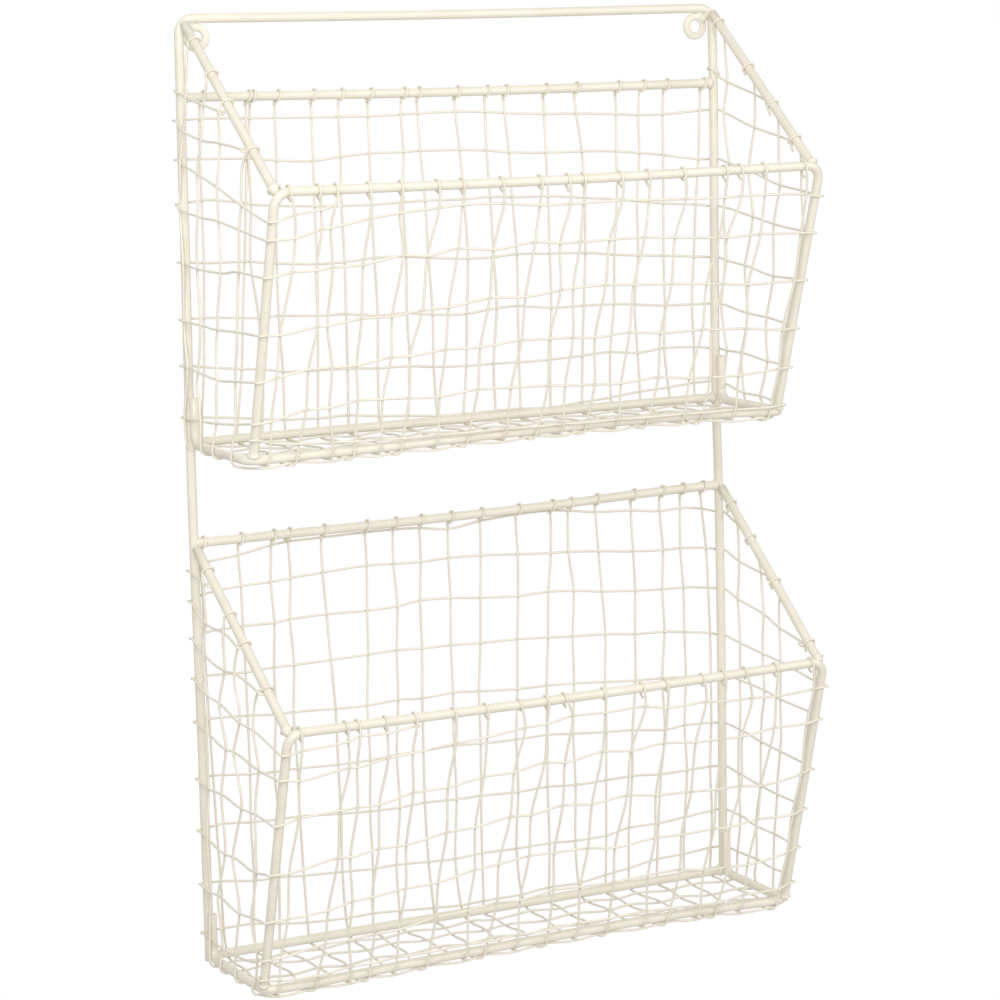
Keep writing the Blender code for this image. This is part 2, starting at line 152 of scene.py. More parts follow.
# Eyelets: how much wider than the CAD ring they are, and the web of weld to the bend
EYELET_HOLE_RADIUS = 0.0040
EYELET_SPREAD = 0.0009
EYELET_SHIFT = (-0.0010, 0, -0.0006)
EYELET_STEPS = 48
EYELET_SIDES = 16
EYELET_BEAD_SHARE = 0.8
EYELET_RIDGE_SHARE = 0.01
EYELET_WEB_RADIUS = 0.0024
EYELET_WEB_STEPS = 6
EYELET_WEB_SPREAD = 0.5

# The weave: how far the ring wires and the wires they cross lie off their walls, how far out
# a ring wire runs round a corner, and how finely the wires are divided
RING_WEAVE = 0.0009
WIRE_WEAVE = 0.0007
CORNER_REACH = 0.0053
WIRE_STEP = 0.0026
# A wire's own places count where they are this far from its crossings
CROSSING_REACH = 0.008
# How often a crossing's place is worked out again, from the last one
WALL_ROUNDS = 8
FLOOR_ROUNDS = 6

# The bends of wire round a floor's edges, in radians from the wall that they come down
BACK_EDGE_TURNS = (0.25, 0.8, 1.35)
SIDE_EDGE_TURNS = (0.2, 0.8, 1.35)
FRONT_EDGE_TURNS = (0.25, 0.8, 1.3)
HANGING_EDGE_TURNS = (0.85, 1.3)
# The wire under a floor's front bar: how far it hangs, and how far left its hangers lean
HANG = 0.0018
HANG_LEAN = 0.0034

# The long wires' hooks, in degrees round their rails: 0 is outside the basket, 90 on top,
# 180 inside. How far they bend swings a little from wire to wire
BEND_STEP_DEGREES = 24.0
CURL_DEGREES = 286
CURL_SWING_DEGREES = 16
BACK_HOOK_END_DEGREES = 6
FRONT_HOOK_START_DEGREES = 8
FRONT_HOOK_END_DEGREES = 176
FRONT_HOOK_SWING_DEGREES = 10
SWING_STEP = 2.3
SWING_STARTS = {"upper": 0, "lower": 1.1}
# (degrees, how far the hook has crept along the rail there)
BACK_HOOK_CREEP = ((0, 0), (90, 0.0012), (180, 0.0004), (250, -0.0010), (305, -0.0020))
FRONT_HOOK_CREEP = ((0, 0), (90, -0.0006), (180, 0.0003))
# Their tails, from the end of the bend
BACK_TAIL = (-0.0012, -0.0010, -0.0016)
BACK_TAIL_SWING = 0.0005
FRONT_TAIL_BEND = (0.0007, 0.0002, -0.0034)
FRONT_TAIL_END = (0.0029, 0.0002, -0.0066)
FRONT_TAIL_SWING = 0.0008

# The side wires' hooks on the diagonals, and the length and lean of their tails
SIDE_HOOK_END_DEGREES = 215
SIDE_HOOK_STEPS = 9
SIDE_TAILS = {
    "upper": {"left": (0.006, 0.003, 0.003, 0.003), "right": (0.004, 0.003, 0.005, 0.006)},
    "lower": {"left": (0.004, 0.004, 0.004, 0.003), "right": (0.004, 0.003, 0.003, 0.004)},
}
SIDE_TAIL_LEANS = {"left": 0.0008, "right": 0.0018}

# The ring wires: their eyes, the winding one's last end, and how many are open at the front
EYE_RADIUS = 0.0019
EYE_LEAN = (0, -0.72, -0.50)
EYE_DEGREES = range(-20, 400, 30)
RING_TAIL = (-0.0004, 0.0022, 0.0012)
OPEN_RINGS = {"upper": 1, "lower": 3}
# The stubs: how many lines of each side they are, and their turns round the upright, as
# (degrees, rise)
STUB_LINES = {"upper": 1, "lower": 0}
STUB_TURNS = {
    "left": ((250, 0), (190, 0.0002), (130, 0.0005), (70, 0.0004), (10, 0)),
    "right": (
        (-160, 0.0040), (-125, 0.0028), (-90, 0.0010), (-45, -0.0015), (0, -0.0022),
        (90, 0.0005), (180, 0.0028), (225, 0.0018), (270, -0.0006), (315, -0.0026),
        (360, -0.0030), (410, -0.0012), (450, 0),
    ),
}

# The coat
COAT_PALE = (0.855, 0.807, 0.700, 1.0)
COAT_DEEP = (0.815, 0.765, 0.650, 1.0)
COLOUR_CLOUD_SCALE = 60.0
COLOUR_CLOUD_DETAIL = 3.0
DEEP_BELOW = 0.35
PALE_ABOVE = 0.65
COAT_ROUGHNESS = 0.36
ROUGHNESS_SWING = 0.05
PEEL_SCALE = 900.0
PEEL_DETAIL = 2.0
PEEL_STRENGTH = 0.12
PEEL_HEIGHT = 0.0002
COAT_IOR = 1.5
SKIN_WEIGHT = 0.35
SKIN_ROUGHNESS = 0.12

# The studio: lamp, place from the rack's centre, size, power
LAMPS = (
    ("key_lamp", (-0.8, -1.2, 0.7), 1.4, 16.0),
    ("fill_lamp", (1.1, -1.2, 0.5), 1.4, 7.0),
    ("back_lamp", (0.2, 1.4, 0.9), 1.4, 5.0),
)
WORLD_COLOUR = (1.0, 0.99, 0.97, 1.0)
WORLD_STRENGTH = 0.56
WHITE = (1, 1, 1, 1)
WHITE_STRENGTH = 1.0
FLOOR_COLOUR = (0.9, 0.9, 0.9, 1.0)
FLOOR_ROUGHNESS = 0.9
FLOOR_RADIUS = 0.9
FLOOR_SIDES = 96
FLOOR_BELOW = 0.9

# The camera: place, degrees of yaw, pitch and roll, millimetres of lens and sensor, and reach
CAMERA_PLACE = (-0.9841, -1.8835, 0.0066)
CAMERA_YAW, CAMERA_PITCH, CAMERA_ROLL = 28.26, -8.51, -1.20
CAMERA_LENS = 115.55
CAMERA_SENSOR = 36.0
CAMERA_NEAR, CAMERA_FAR = 0.1, 20.0

# Places of the wires, read on the photograph's own walls. Positions along a wall are
# shares of the frame's width, or of the front rail's depth on the sides. Drops below the
# top bar are shares of the frame's height. Lines run across a wall, from the top down.

UPPER_BACK_LINE_SHARES = (
    (
        (0.00, 0.103), (0.20, 0.1057), (0.38, 0.107), (0.43, 0.106), (0.545, 0.1067), (0.60, 0.1095),
        (0.67, 0.1117), (0.75, 0.113), (0.81, 0.115), (0.86, 0.117), (0.90, 0.117), (1.00, 0.1135),
    ),
    (
        (0.00, 0.144), (0.08, 0.147), (0.14, 0.147), (0.18, 0.151), (0.235, 0.1523), (0.30, 0.148),
        (0.40, 0.1467), (0.50, 0.147), (0.555, 0.149), (0.60, 0.152), (0.67, 0.1543), (0.78, 0.155),
        (0.86, 0.1595), (0.90, 0.1623), (0.95, 0.1667), (0.975, 0.169), (1.00, 0.1693),
    ),
    (
        (0.00, 0.189), (0.035, 0.188), (0.10, 0.1917), (0.13, 0.196), (0.175, 0.198), (0.285, 0.2013),
        (0.39, 0.201), (0.43, 0.200), (0.495, 0.2013), (0.56, 0.1995), (0.60, 0.2013), (0.67, 0.202),
        (0.77, 0.2077), (0.83, 0.211), (0.875, 0.2157), (0.93, 0.2177), (1.00, 0.2225),
    ),
    (
        (0.00, 0.2515), (0.035, 0.254), (0.095, 0.254), (0.14, 0.257), (0.19, 0.260), (0.26, 0.2623),
        (0.32, 0.2597), (0.40, 0.2595), (0.46, 0.2637), (0.565, 0.266), (0.65, 0.2637), (0.675, 0.266),
        (0.745, 0.2673), (0.80, 0.2713), (0.90, 0.276), (1.00, 0.2805),
    ),
    (
        (0.00, 0.311), (0.085, 0.3127), (0.105, 0.3145), (0.165, 0.3147), (0.235, 0.317), (0.265, 0.317),
        (0.37, 0.3217), (0.40, 0.321), (0.45, 0.3245), (0.51, 0.3265), (0.56, 0.3223), (0.61, 0.3217),
        (0.70, 0.327), (0.77, 0.3257), (0.84, 0.329), (0.90, 0.3323), (1.00, 0.3337),
    ),
    (
        (0.00, 0.360), (0.055, 0.3657), (0.10, 0.3685), (0.15, 0.3717), (0.19, 0.3765), (0.26, 0.375),
        (0.34, 0.3787), (0.365, 0.3777), (0.45, 0.382), (0.60, 0.3837), (0.67, 0.384), (0.80, 0.381),
        (0.85, 0.3837), (0.90, 0.381), (0.93, 0.3807), (1.00, 0.3845),
    ),
    (
        (0.00, 0.4145), (0.05, 0.4177), (0.12, 0.4223), (0.17, 0.426), (0.215, 0.4275), (0.265, 0.4267),
        (0.34, 0.4305), (0.40, 0.4333), (0.48, 0.4367), (0.56, 0.4355), (0.70, 0.4367), (0.73, 0.435),
        (0.79, 0.4317), (0.87, 0.4273), (0.95, 0.424), (1.00, 0.4217),
    ),
)
UPPER_FRONT_LINE_SHARES = (
    ((0.00, 0.200), (0.02, 0.1975), (0.04, 0.194), (0.07, 0.1915), (0.10, 0.1875), (0.115, 0.187)),
    (
        (0.00, 0.2185), (0.02, 0.219), (0.045, 0.217), (0.085, 0.2105), (0.12, 0.207), (0.165, 0.202),
        (0.22, 0.197), (0.25, 0.1945), (0.28, 0.1945), (0.32, 0.1925), (0.40, 0.1935), (0.465, 0.197),
        (0.56, 0.197), (0.61, 0.1963), (0.69, 0.198), (0.80, 0.1988), (0.90, 0.1985), (0.96, 0.200),
        (1.00, 0.203),
    ),
    (
        (0.00, 0.2555), (0.045, 0.252), (0.085, 0.251), (0.11, 0.2495), (0.165, 0.248), (0.21, 0.243),
        (0.23, 0.2415), (0.275, 0.243), (0.325, 0.2375), (0.39, 0.2405), (0.45, 0.2355), (0.51, 0.238),
        (0.65, 0.237), (0.72, 0.239), (0.83, 0.2425), (0.90, 0.241), (1.00, 0.243),
    ),
    (
        (0.00, 0.315), (0.035, 0.315), (0.06, 0.312), (0.115, 0.3085), (0.14, 0.306), (0.18, 0.304),
        (0.25, 0.3025), (0.28, 0.2995), (0.325, 0.298), (0.35, 0.295), (0.39, 0.292), (0.46, 0.2925),
        (0.515, 0.289), (0.54, 0.2868), (0.60, 0.286), (0.71, 0.289), (0.78, 0.291), (0.88, 0.2955),
        (1.00, 0.295),
    ),
    (
        (0.00, 0.3625), (0.02, 0.362), (0.06, 0.356), (0.09, 0.353), (0.15, 0.3535), (0.17, 0.3525),
        (0.21, 0.348), (0.265, 0.347), (0.325, 0.3435), (0.36, 0.3445), (0.43, 0.340), (0.46, 0.3393),
        (0.55, 0.3405), (0.60, 0.342), (0.66, 0.3395), (0.725, 0.3425), (0.80, 0.3425), (0.89, 0.345),
        (0.95, 0.3485), (1.00, 0.350),
    ),
    (
        (0.00, 0.406), (0.035, 0.4045), (0.055, 0.402), (0.09, 0.3963), (0.155, 0.394), (0.175, 0.391),
        (0.235, 0.391), (0.325, 0.3933), (0.37, 0.390), (0.395, 0.389), (0.47, 0.390), (0.58, 0.393),
        (0.66, 0.395), (0.70, 0.392), (0.73, 0.392), (0.80, 0.396), (0.89, 0.397), (0.96, 0.394),
        (1.00, 0.394),
    ),
    ((0.00, 0.424), (0.05, 0.429), (0.15, 0.433), (0.50, 0.435), (1.00, 0.437)),
)
LOWER_BACK_LINE_SHARES = (
    (
        (0.00, 0.5725), (0.05, 0.570), (0.08, 0.567), (0.105, 0.564), (0.14, 0.5595), (0.175, 0.558),
        (0.29, 0.557), (0.40, 0.5575), (0.45, 0.5615), (0.485, 0.562), (0.53, 0.5575), (0.70, 0.5557),
        (0.75, 0.5605), (0.82, 0.5625), (0.89, 0.5675), (0.92, 0.566), (0.97, 0.5695), (1.00, 0.573),
    ),
    (
        (0.00, 0.6075), (0.03, 0.604), (0.075, 0.6003), (0.135, 0.600), (0.17, 0.5975), (0.23, 0.596),
        (0.265, 0.5935), (0.31, 0.593), (0.36, 0.595), (0.53, 0.5957), (0.605, 0.5997), (0.70, 0.603),
        (0.76, 0.6057), (0.83, 0.6107), (0.89, 0.6125), (0.97, 0.6147), (1.00, 0.6178),
    ),
    (
        (0.00, 0.6475), (0.03, 0.6453), (0.13, 0.6447), (0.175, 0.6428), (0.275, 0.642), (0.31, 0.6435),
        (0.35, 0.643), (0.395, 0.6397), (0.47, 0.6397), (0.50, 0.642), (0.57, 0.646), (0.66, 0.646),
        (0.71, 0.6478), (0.75, 0.6518), (0.83, 0.6557), (0.89, 0.6587), (0.935, 0.659), (1.00, 0.6645),
    ),
    (
        (0.00, 0.6935), (0.08, 0.6945), (0.175, 0.693), (0.24, 0.6932), (0.31, 0.6915), (0.465, 0.6932),
        (0.57, 0.6953), (0.66, 0.6978), (0.70, 0.7003), (0.77, 0.702), (0.83, 0.7068), (0.895, 0.708),
        (0.93, 0.7115), (0.99, 0.7168), (1.00, 0.719),
    ),
    (
        (0.00, 0.740), (0.05, 0.7407), (0.10, 0.7435), (0.16, 0.7453), (0.25, 0.7471), (0.305, 0.749),
        (0.365, 0.7464), (0.41, 0.749), (0.47, 0.7464), (0.515, 0.7493), (0.65, 0.7532), (0.71, 0.7543),
        (0.75, 0.757), (0.83, 0.7604), (0.90, 0.763), (1.00, 0.7665),
    ),
    (
        (0.00, 0.8028), (0.05, 0.8043), (0.13, 0.8086), (0.175, 0.8078), (0.245, 0.8104), (0.35, 0.809),
        (0.45, 0.8071), (0.52, 0.8086), (0.59, 0.8104), (0.65, 0.8093), (0.70, 0.8129), (0.80, 0.8171),
        (0.89, 0.8229), (0.985, 0.822), (1.00, 0.824),
    ),
    (
        (0.00, 0.8575), (0.03, 0.857), (0.05, 0.859), (0.13, 0.8607), (0.25, 0.865), (0.30, 0.8679),
        (0.41, 0.8675), (0.60, 0.8704), (0.66, 0.8705), (0.70, 0.872), (0.765, 0.8729), (0.81, 0.8714),
        (0.88, 0.8754), (0.94, 0.8746), (1.00, 0.8754),
    ),
    (
        (0.00, 0.9185), (0.10, 0.9255), (0.16, 0.9273), (0.25, 0.9314), (0.41, 0.9346), (0.465, 0.9371),
        (0.515, 0.9346), (0.585, 0.9364), (0.62, 0.9346), (0.70, 0.9382), (0.765, 0.9371), (0.79, 0.9346),
        (0.90, 0.9318), (0.95, 0.930), (0.985, 0.9271), (1.00, 0.9275),
    ),
    (
        (0.00, 0.9715), (0.10, 0.9745), (0.165, 0.9807), (0.20, 0.9829), (0.26, 0.9837), (0.37, 0.986),
        (0.41, 0.9888), (0.475, 0.9907), (0.59, 0.990), (0.65, 0.988), (0.725, 0.9871), (0.765, 0.9843),
        (0.80, 0.9807), (0.87, 0.9757), (0.96, 0.9729), (1.00, 0.972),
    ),
)
LOWER_FRONT_LINE_SHARES = (
    (
        (0.00, 0.7345), (0.02, 0.733), (0.05, 0.7305), (0.07, 0.729), (0.10, 0.7283), (0.125, 0.725),
        (0.175, 0.7245), (0.20, 0.722), (0.225, 0.722),
    ),
    (
        (0.00, 0.763), (0.035, 0.765), (0.075, 0.7613), (0.105, 0.7588), (0.145, 0.7575), (0.17, 0.7545),
        (0.22, 0.751), (0.29, 0.748), (0.31, 0.746), (0.35, 0.745), (0.415, 0.7413), (0.46, 0.739),
        (0.485, 0.7363), (0.57, 0.7355), (0.64, 0.7355), (0.685, 0.740), (0.73, 0.7395), (0.81, 0.742),
        (0.90, 0.7443), (0.93, 0.7445), (0.96, 0.743), (1.00, 0.7433),
    ),
    (
        (0.00, 0.812), (0.035, 0.807), (0.10, 0.8045), (0.165, 0.8045), (0.20, 0.800), (0.22, 0.798),
        (0.28, 0.7967), (0.315, 0.794), (0.335, 0.792), (0.405, 0.790), (0.43, 0.788), (0.45, 0.785),
        (0.50, 0.787), (0.53, 0.7867), (0.57, 0.7818), (0.63, 0.7845), (0.66, 0.7825), (0.715, 0.7833),
        (0.75, 0.7855), (0.84, 0.787), (0.90, 0.7835), (1.00, 0.782),
    ),
    (
        (0.00, 0.868), (0.025, 0.867), (0.05, 0.8655), (0.07, 0.862), (0.10, 0.8595), (0.13, 0.8595),
        (0.175, 0.8563), (0.24, 0.8545), (0.285, 0.850), (0.335, 0.8478), (0.37, 0.8458), (0.395, 0.843),
        (0.45, 0.843), (0.51, 0.8383), (0.56, 0.8408), (0.60, 0.840), (0.63, 0.8383), (0.68, 0.8418),
        (0.79, 0.8463), (0.85, 0.8475), (0.89, 0.850), (0.935, 0.8495), (0.97, 0.8455), (1.00, 0.8438),
    ),
    (
        (0.00, 0.923), (0.03, 0.9205), (0.075, 0.9197), (0.10, 0.917), (0.12, 0.9143), (0.15, 0.912),
        (0.20, 0.9083), (0.26, 0.907), (0.29, 0.9055), (0.34, 0.900), (0.38, 0.897), (0.42, 0.894),
        (0.57, 0.8945), (0.62, 0.898), (0.70, 0.895), (0.79, 0.8955), (0.86, 0.895), (0.91, 0.892),
        (0.98, 0.892), (1.00, 0.890),
    ),
    (
        (0.00, 0.966), (0.03, 0.963), (0.10, 0.957), (0.20, 0.9552), (0.24, 0.953), (0.28, 0.949),
        (0.355, 0.945), (0.405, 0.942), (0.47, 0.9425), (0.50, 0.9395), (0.565, 0.9388), (0.62, 0.9413),
        (0.68, 0.9388), (0.75, 0.9388), (0.81, 0.9438), (0.91, 0.9458), (0.95, 0.9438), (1.00, 0.9375),
    ),
    (
        (0.00, 0.990), (0.05, 0.9925), (0.16, 0.989), (0.45, 0.986), (0.65, 0.984), (0.75, 0.9845),
        (0.80, 0.987), (0.825, 0.9888), (0.87, 0.986), (0.95, 0.984), (1.00, 0.982),
    ),
)
# The sides: their lines, and the side wires that hang on the diagonals
UPPER_LEFT_LINE_SHARES = (
    ((0, 0.073), (0.14, 0.081), (0.21, 0.084), (0.31, 0.0864), (0.45, 0.093), (0.507, 0.0945)),
    (
        (0, 0.106), (0.077, 0.1132), (0.127, 0.1132), (0.20, 0.1186), (0.29, 0.1236), (0.33, 0.1246),
        (0.45, 0.1246), (0.50, 0.125), (0.627, 0.1264), (0.71, 0.1293), (0.74, 0.131),
    ),
    (
        (0, 0.146), (0.06, 0.150), (0.118, 0.1518), (0.21, 0.156), (0.293, 0.159), (0.36, 0.164),
        (0.45, 0.171), (0.527, 0.1757), (0.593, 0.1793), (0.685, 0.184), (0.743, 0.1864),
        (0.80, 0.190), (0.843, 0.1936), (0.885, 0.198), (0.933, 0.200),
    ),
    (
        (0, 0.1936), (0.043, 0.1954), (0.10, 0.198), (0.16, 0.200), (0.243, 0.2025), (0.443, 0.2036),
        (0.56, 0.206), (0.627, 0.209), (0.693, 0.212), (0.76, 0.2143), (0.843, 0.216), (0.97, 0.218),
    ),
    (
        (0, 0.2515), (0.177, 0.255), (0.293, 0.256), (0.46, 0.2568), (0.568, 0.255), (0.677, 0.2525),
        (0.743, 0.2536), (0.835, 0.2564), (0.896, 0.2562),
    ),
    ((0, 0.312), (0.127, 0.3132), (0.36, 0.315), (0.60, 0.3143), (0.76, 0.315), (0.821, 0.3146)),
    (
        (0, 0.3605), (0.16, 0.3625), (0.227, 0.365), (0.31, 0.3675), (0.493, 0.366), (0.568, 0.365),
        (0.677, 0.3636), (0.746, 0.3632),
    ),
    (
        (0, 0.415), (0.10, 0.416), (0.21, 0.414), (0.31, 0.413), (0.46, 0.4114), (0.58, 0.4089),
        (0.709, 0.406),
    ),
)
UPPER_LEFT_SIDE_WIRE_SHARES = (
    (
        (0.142, 0.020), (0.165, 0.045), (0.155, 0.060), (0.14, 0.080), (0.12, 0.097), (0.075, 0.118),
        (0.055, 0.145), (0.035, 0.170), (0.01, 0.200), (0.03, 0.225), (0.0475, 0.2525), (0.03, 0.280),
        (0.008, 0.313), (0.03, 0.340), (0.056, 0.361), (0.02, 0.390), (-0.01, 0.415), (0, 0.440),
    ),
    (
        (0.328, 0.053), (0.36, 0.063), (0.335, 0.076), (0.308, 0.097), (0.31, 0.113), (0.293, 0.1275),
        (0.243, 0.147), (0.22, 0.158), (0.22, 0.1686), (0.235, 0.185), (0.231, 0.2025), (0.20, 0.226),
        (0.185, 0.254), (0.189, 0.272), (0.218, 0.297), (0.22, 0.313), (0.20, 0.333), (0.16, 0.358),
        (0.139, 0.379), (0.16, 0.390), (0.178, 0.404), (0.185, 0.4186), (0.183, 0.440),
    ),
    (
        (0.4925, 0.083), (0.50, 0.099), (0.49, 0.115), (0.481, 0.133), (0.467, 0.154), (0.4475, 0.190),
        (0.44, 0.204), (0.452, 0.222), (0.464, 0.240), (0.467, 0.2536), (0.456, 0.265), (0.427, 0.283),
        (0.40, 0.300), (0.387, 0.315), (0.377, 0.329), (0.377, 0.347), (0.385, 0.3675), (0.367, 0.383),
        (0.3475, 0.404), (0.34, 0.4186), (0.335, 0.440),
    ),
    (
        (0.754, 0.127), (0.725, 0.1436), (0.706, 0.156), (0.6975, 0.1686), (0.693, 0.185),
        (0.685, 0.204), (0.677, 0.2186), (0.66, 0.236), (0.643, 0.254), (0.633, 0.272), (0.629, 0.294),
        (0.629, 0.311), (0.614, 0.329), (0.589, 0.347), (0.5725, 0.361), (0.5725, 0.379),
        (0.578, 0.397), (0.577, 0.4186), (0.5725, 0.440),
    ),
)
UPPER_RIGHT_LINE_SHARES = (
    (
        (0, 0.0714), (0.05, 0.0793), (0.08, 0.0814), (0.152, 0.0857), (0.252, 0.0914), (0.352, 0.0964),
        (0.377, 0.098), (0.452, 0.1036), (0.489, 0.106),
    ),
    (
        (0, 0.1143), (0.05, 0.117), (0.081, 0.1186), (0.152, 0.1218), (0.252, 0.127), (0.30, 0.1296),
        (0.343, 0.1318), (0.402, 0.1332), (0.502, 0.1379), (0.577, 0.1414), (0.627, 0.1439),
        (0.693, 0.147),
    ),
    (
        (0, 0.1693), (0.05, 0.171), (0.10, 0.173), (0.202, 0.176), (0.323, 0.1829), (0.402, 0.1864),
        (0.502, 0.191), (0.593, 0.1943), (0.652, 0.1957), (0.777, 0.199), (0.902, 0.203),
    ),
    (
        (0, 0.223), (0.05, 0.224), (0.152, 0.226), (0.252, 0.229), (0.302, 0.2307), (0.402, 0.232),
        (0.452, 0.234), (0.502, 0.237), (0.543, 0.239), (0.602, 0.240), (0.71, 0.2414), (0.777, 0.242),
        (0.85, 0.243),
    ),
    (
        (0, 0.2814), (0.05, 0.283), (0.152, 0.285), (0.252, 0.288), (0.352, 0.291), (0.452, 0.294),
        (0.502, 0.295), (0.577, 0.2954), (0.78, 0.296),
    ),
    (
        (0, 0.3343), (0.05, 0.335), (0.102, 0.336), (0.202, 0.3386), (0.252, 0.340), (0.352, 0.3414),
        (0.452, 0.343), (0.577, 0.345), (0.74, 0.3485),
    ),
    (
        (0, 0.386), (0.05, 0.3864), (0.152, 0.3864), (0.202, 0.387), (0.302, 0.389), (0.402, 0.3904),
        (0.543, 0.3925), (0.69, 0.394),
    ),
    (
        (0, 0.424), (0.031, 0.425), (0.102, 0.4275), (0.202, 0.431), (0.302, 0.432), (0.402, 0.433),
        (0.493, 0.4346), (0.64, 0.4365),
    ),
)
UPPER_RIGHT_SIDE_WIRE_SHARES = (
    (
        (0.080, 0.0154), (0.058, 0.0293), (0.062, 0.0436), (0.0725, 0.0614), (0.083, 0.0775),
        (0.077, 0.090), (0.066, 0.1043), (0.061, 0.1186), (0.066, 0.1329), (0.075, 0.1507),
        (0.087, 0.1686), (0.091, 0.1829), (0.068, 0.2043), (0.053, 0.2221), (0.0475, 0.240),
        (0.050, 0.2579), (0.056, 0.2811), (0.043, 0.2971), (0.028, 0.315), (0.017, 0.3346),
        (0.025, 0.3543), (0.039, 0.3721), (0.049, 0.3846), (0.043, 0.4007), (0.031, 0.4186),
        (0.020, 0.440),
    ),
    (
        (0.370, 0.0653), (0.368, 0.0882), (0.3575, 0.1043), (0.346, 0.1221), (0.3325, 0.140),
        (0.317, 0.1543), (0.303, 0.1686), (0.2975, 0.1793), (0.300, 0.1936), (0.310, 0.2114),
        (0.317, 0.2257), (0.3125, 0.240), (0.293, 0.2579), (0.2725, 0.2721), (0.256, 0.2829),
        (0.250, 0.2936), (0.253, 0.3079), (0.258, 0.3221), (0.258, 0.3364), (0.252, 0.3543),
        (0.231, 0.3721), (0.212, 0.3864), (0.214, 0.3971), (0.218, 0.4186), (0.210, 0.440),
    ),
    (
        (0.6025, 0.1053), (0.581, 0.1239), (0.583, 0.1364), (0.581, 0.1471), (0.575, 0.165),
        (0.578, 0.1829), (0.575, 0.1954), (0.558, 0.2114), (0.541, 0.2257), (0.529, 0.240),
        (0.520, 0.2614), (0.514, 0.2793), (0.506, 0.2971), (0.489, 0.315), (0.470, 0.3329),
        (0.456, 0.3436), (0.445, 0.3579), (0.443, 0.3757), (0.446, 0.390), (0.431, 0.4043),
        (0.410, 0.4186), (0.380, 0.440),
    ),
    (
        (0.8125, 0.1413), (0.783, 0.1604), (0.787, 0.182), (0.785, 0.2092), (0.791, 0.2276),
        (0.785, 0.2404), (0.763, 0.2594), (0.741, 0.2798), (0.730, 0.290), (0.712, 0.302),
        (0.665, 0.330), (0.614, 0.3548), (0.592, 0.373), (0.565, 0.399), (0.530, 0.420),
        (0.495, 0.440),
    ),
)
LOWER_LEFT_LINE_SHARES = (
    ((0, 0.584), (0.06, 0.586), (0.12, 0.588), (0.187, 0.587)),
    (
        (0, 0.614), (0.05, 0.622), (0.10, 0.6257), (0.25, 0.630), (0.33, 0.6325), (0.43, 0.636),
        (0.507, 0.641),
    ),
    (
        (0, 0.655), (0.07, 0.663), (0.17, 0.6657), (0.235, 0.6686), (0.31, 0.671), (0.46, 0.672),
        (0.54, 0.674), (0.69, 0.678), (0.731, 0.681),
    ),
    (
        (0, 0.696), (0.045, 0.702), (0.13, 0.705), (0.21, 0.708), (0.29, 0.7114), (0.38, 0.7168),
        (0.46, 0.7193), (0.54, 0.721), (0.63, 0.724), (0.69, 0.7264), (0.79, 0.7336), (0.87, 0.737),
        (0.955, 0.738),
    ),
    (
        (0, 0.743), (0.085, 0.7468), (0.15, 0.7496), (0.21, 0.753), (0.29, 0.755), (0.39, 0.756),
        (0.49, 0.7575), (0.58, 0.759), (0.66, 0.7614), (0.76, 0.764), (0.86, 0.7657), (0.933, 0.765),
    ),
    (
        (0, 0.805), (0.085, 0.807), (0.25, 0.8086), (0.36, 0.8096), (0.48, 0.812), (0.59, 0.813),
        (0.71, 0.814), (0.81, 0.8164), (0.858, 0.8168),
    ),
    (
        (0, 0.864), (0.07, 0.8657), (0.18, 0.8686), (0.24, 0.8704), (0.33, 0.871), (0.44, 0.872),
        (0.53, 0.873), (0.59, 0.874), (0.69, 0.8736), (0.784, 0.8718),
    ),
    (
        (0, 0.921), (0.13, 0.922), (0.21, 0.923), (0.275, 0.9246), (0.335, 0.9264), (0.41, 0.9275),
        (0.49, 0.928), (0.585, 0.9264), (0.67, 0.9257), (0.724, 0.924),
    ),
    ((0, 0.975), (0.17, 0.9764), (0.373, 0.9785), (0.672, 0.9686)),
)
LOWER_LEFT_SIDE_WIRE_SHARES = (
    (
        (0.127, 0.5735), (0.149, 0.595), (0.119, 0.661), (0.134, 0.727), (0.104, 0.810),
        (0.09, 0.8926), (0.075, 0.9967),
    ),
    (
        (0.358, 0.605), (0.36, 0.630), (0.347, 0.648), (0.339, 0.669), (0.318, 0.6836),
        (0.293, 0.7014), (0.285, 0.7157), (0.30, 0.730), (0.3225, 0.748), (0.318, 0.762),
        (0.30, 0.780), (0.281, 0.798), (0.2725, 0.8157), (0.277, 0.8336), (0.281, 0.851),
        (0.275, 0.869), (0.252, 0.882), (0.227, 0.901), (0.202, 0.916), (0.189, 0.930),
        (0.1975, 0.944), (0.206, 0.9586), (0.202, 0.976), (0.193, 0.9967),
    ),
    (
        (0.5075, 0.633), (0.493, 0.6496), (0.4725, 0.662), (0.464, 0.6764), (0.4725, 0.6907),
        (0.493, 0.705), (0.4975, 0.712), (0.481, 0.7246), (0.452, 0.7407), (0.431, 0.755),
        (0.435, 0.7657), (0.46, 0.780), (0.481, 0.798), (0.481, 0.8086), (0.46, 0.823),
        (0.427, 0.8407), (0.393, 0.8586), (0.381, 0.873), (0.393, 0.8907), (0.41, 0.9086),
        (0.417, 0.919), (0.41, 0.9336), (0.393, 0.951), (0.377, 0.973), (0.368, 0.9967),
    ),
    (
        (0.731, 0.668), (0.693, 0.687), (0.668, 0.696), (0.658, 0.7086), (0.658, 0.723),
        (0.668, 0.7407), (0.681, 0.755), (0.668, 0.773), (0.656, 0.7907), (0.6475, 0.812),
        (0.639, 0.8336), (0.627, 0.851), (0.6225, 0.873), (0.61, 0.887), (0.589, 0.905),
        (0.5725, 0.919), (0.568, 0.9336), (0.581, 0.948), (0.5975, 0.9586), (0.593, 0.973),
        (0.5725, 0.991), (0.564, 0.9967),
    ),
)
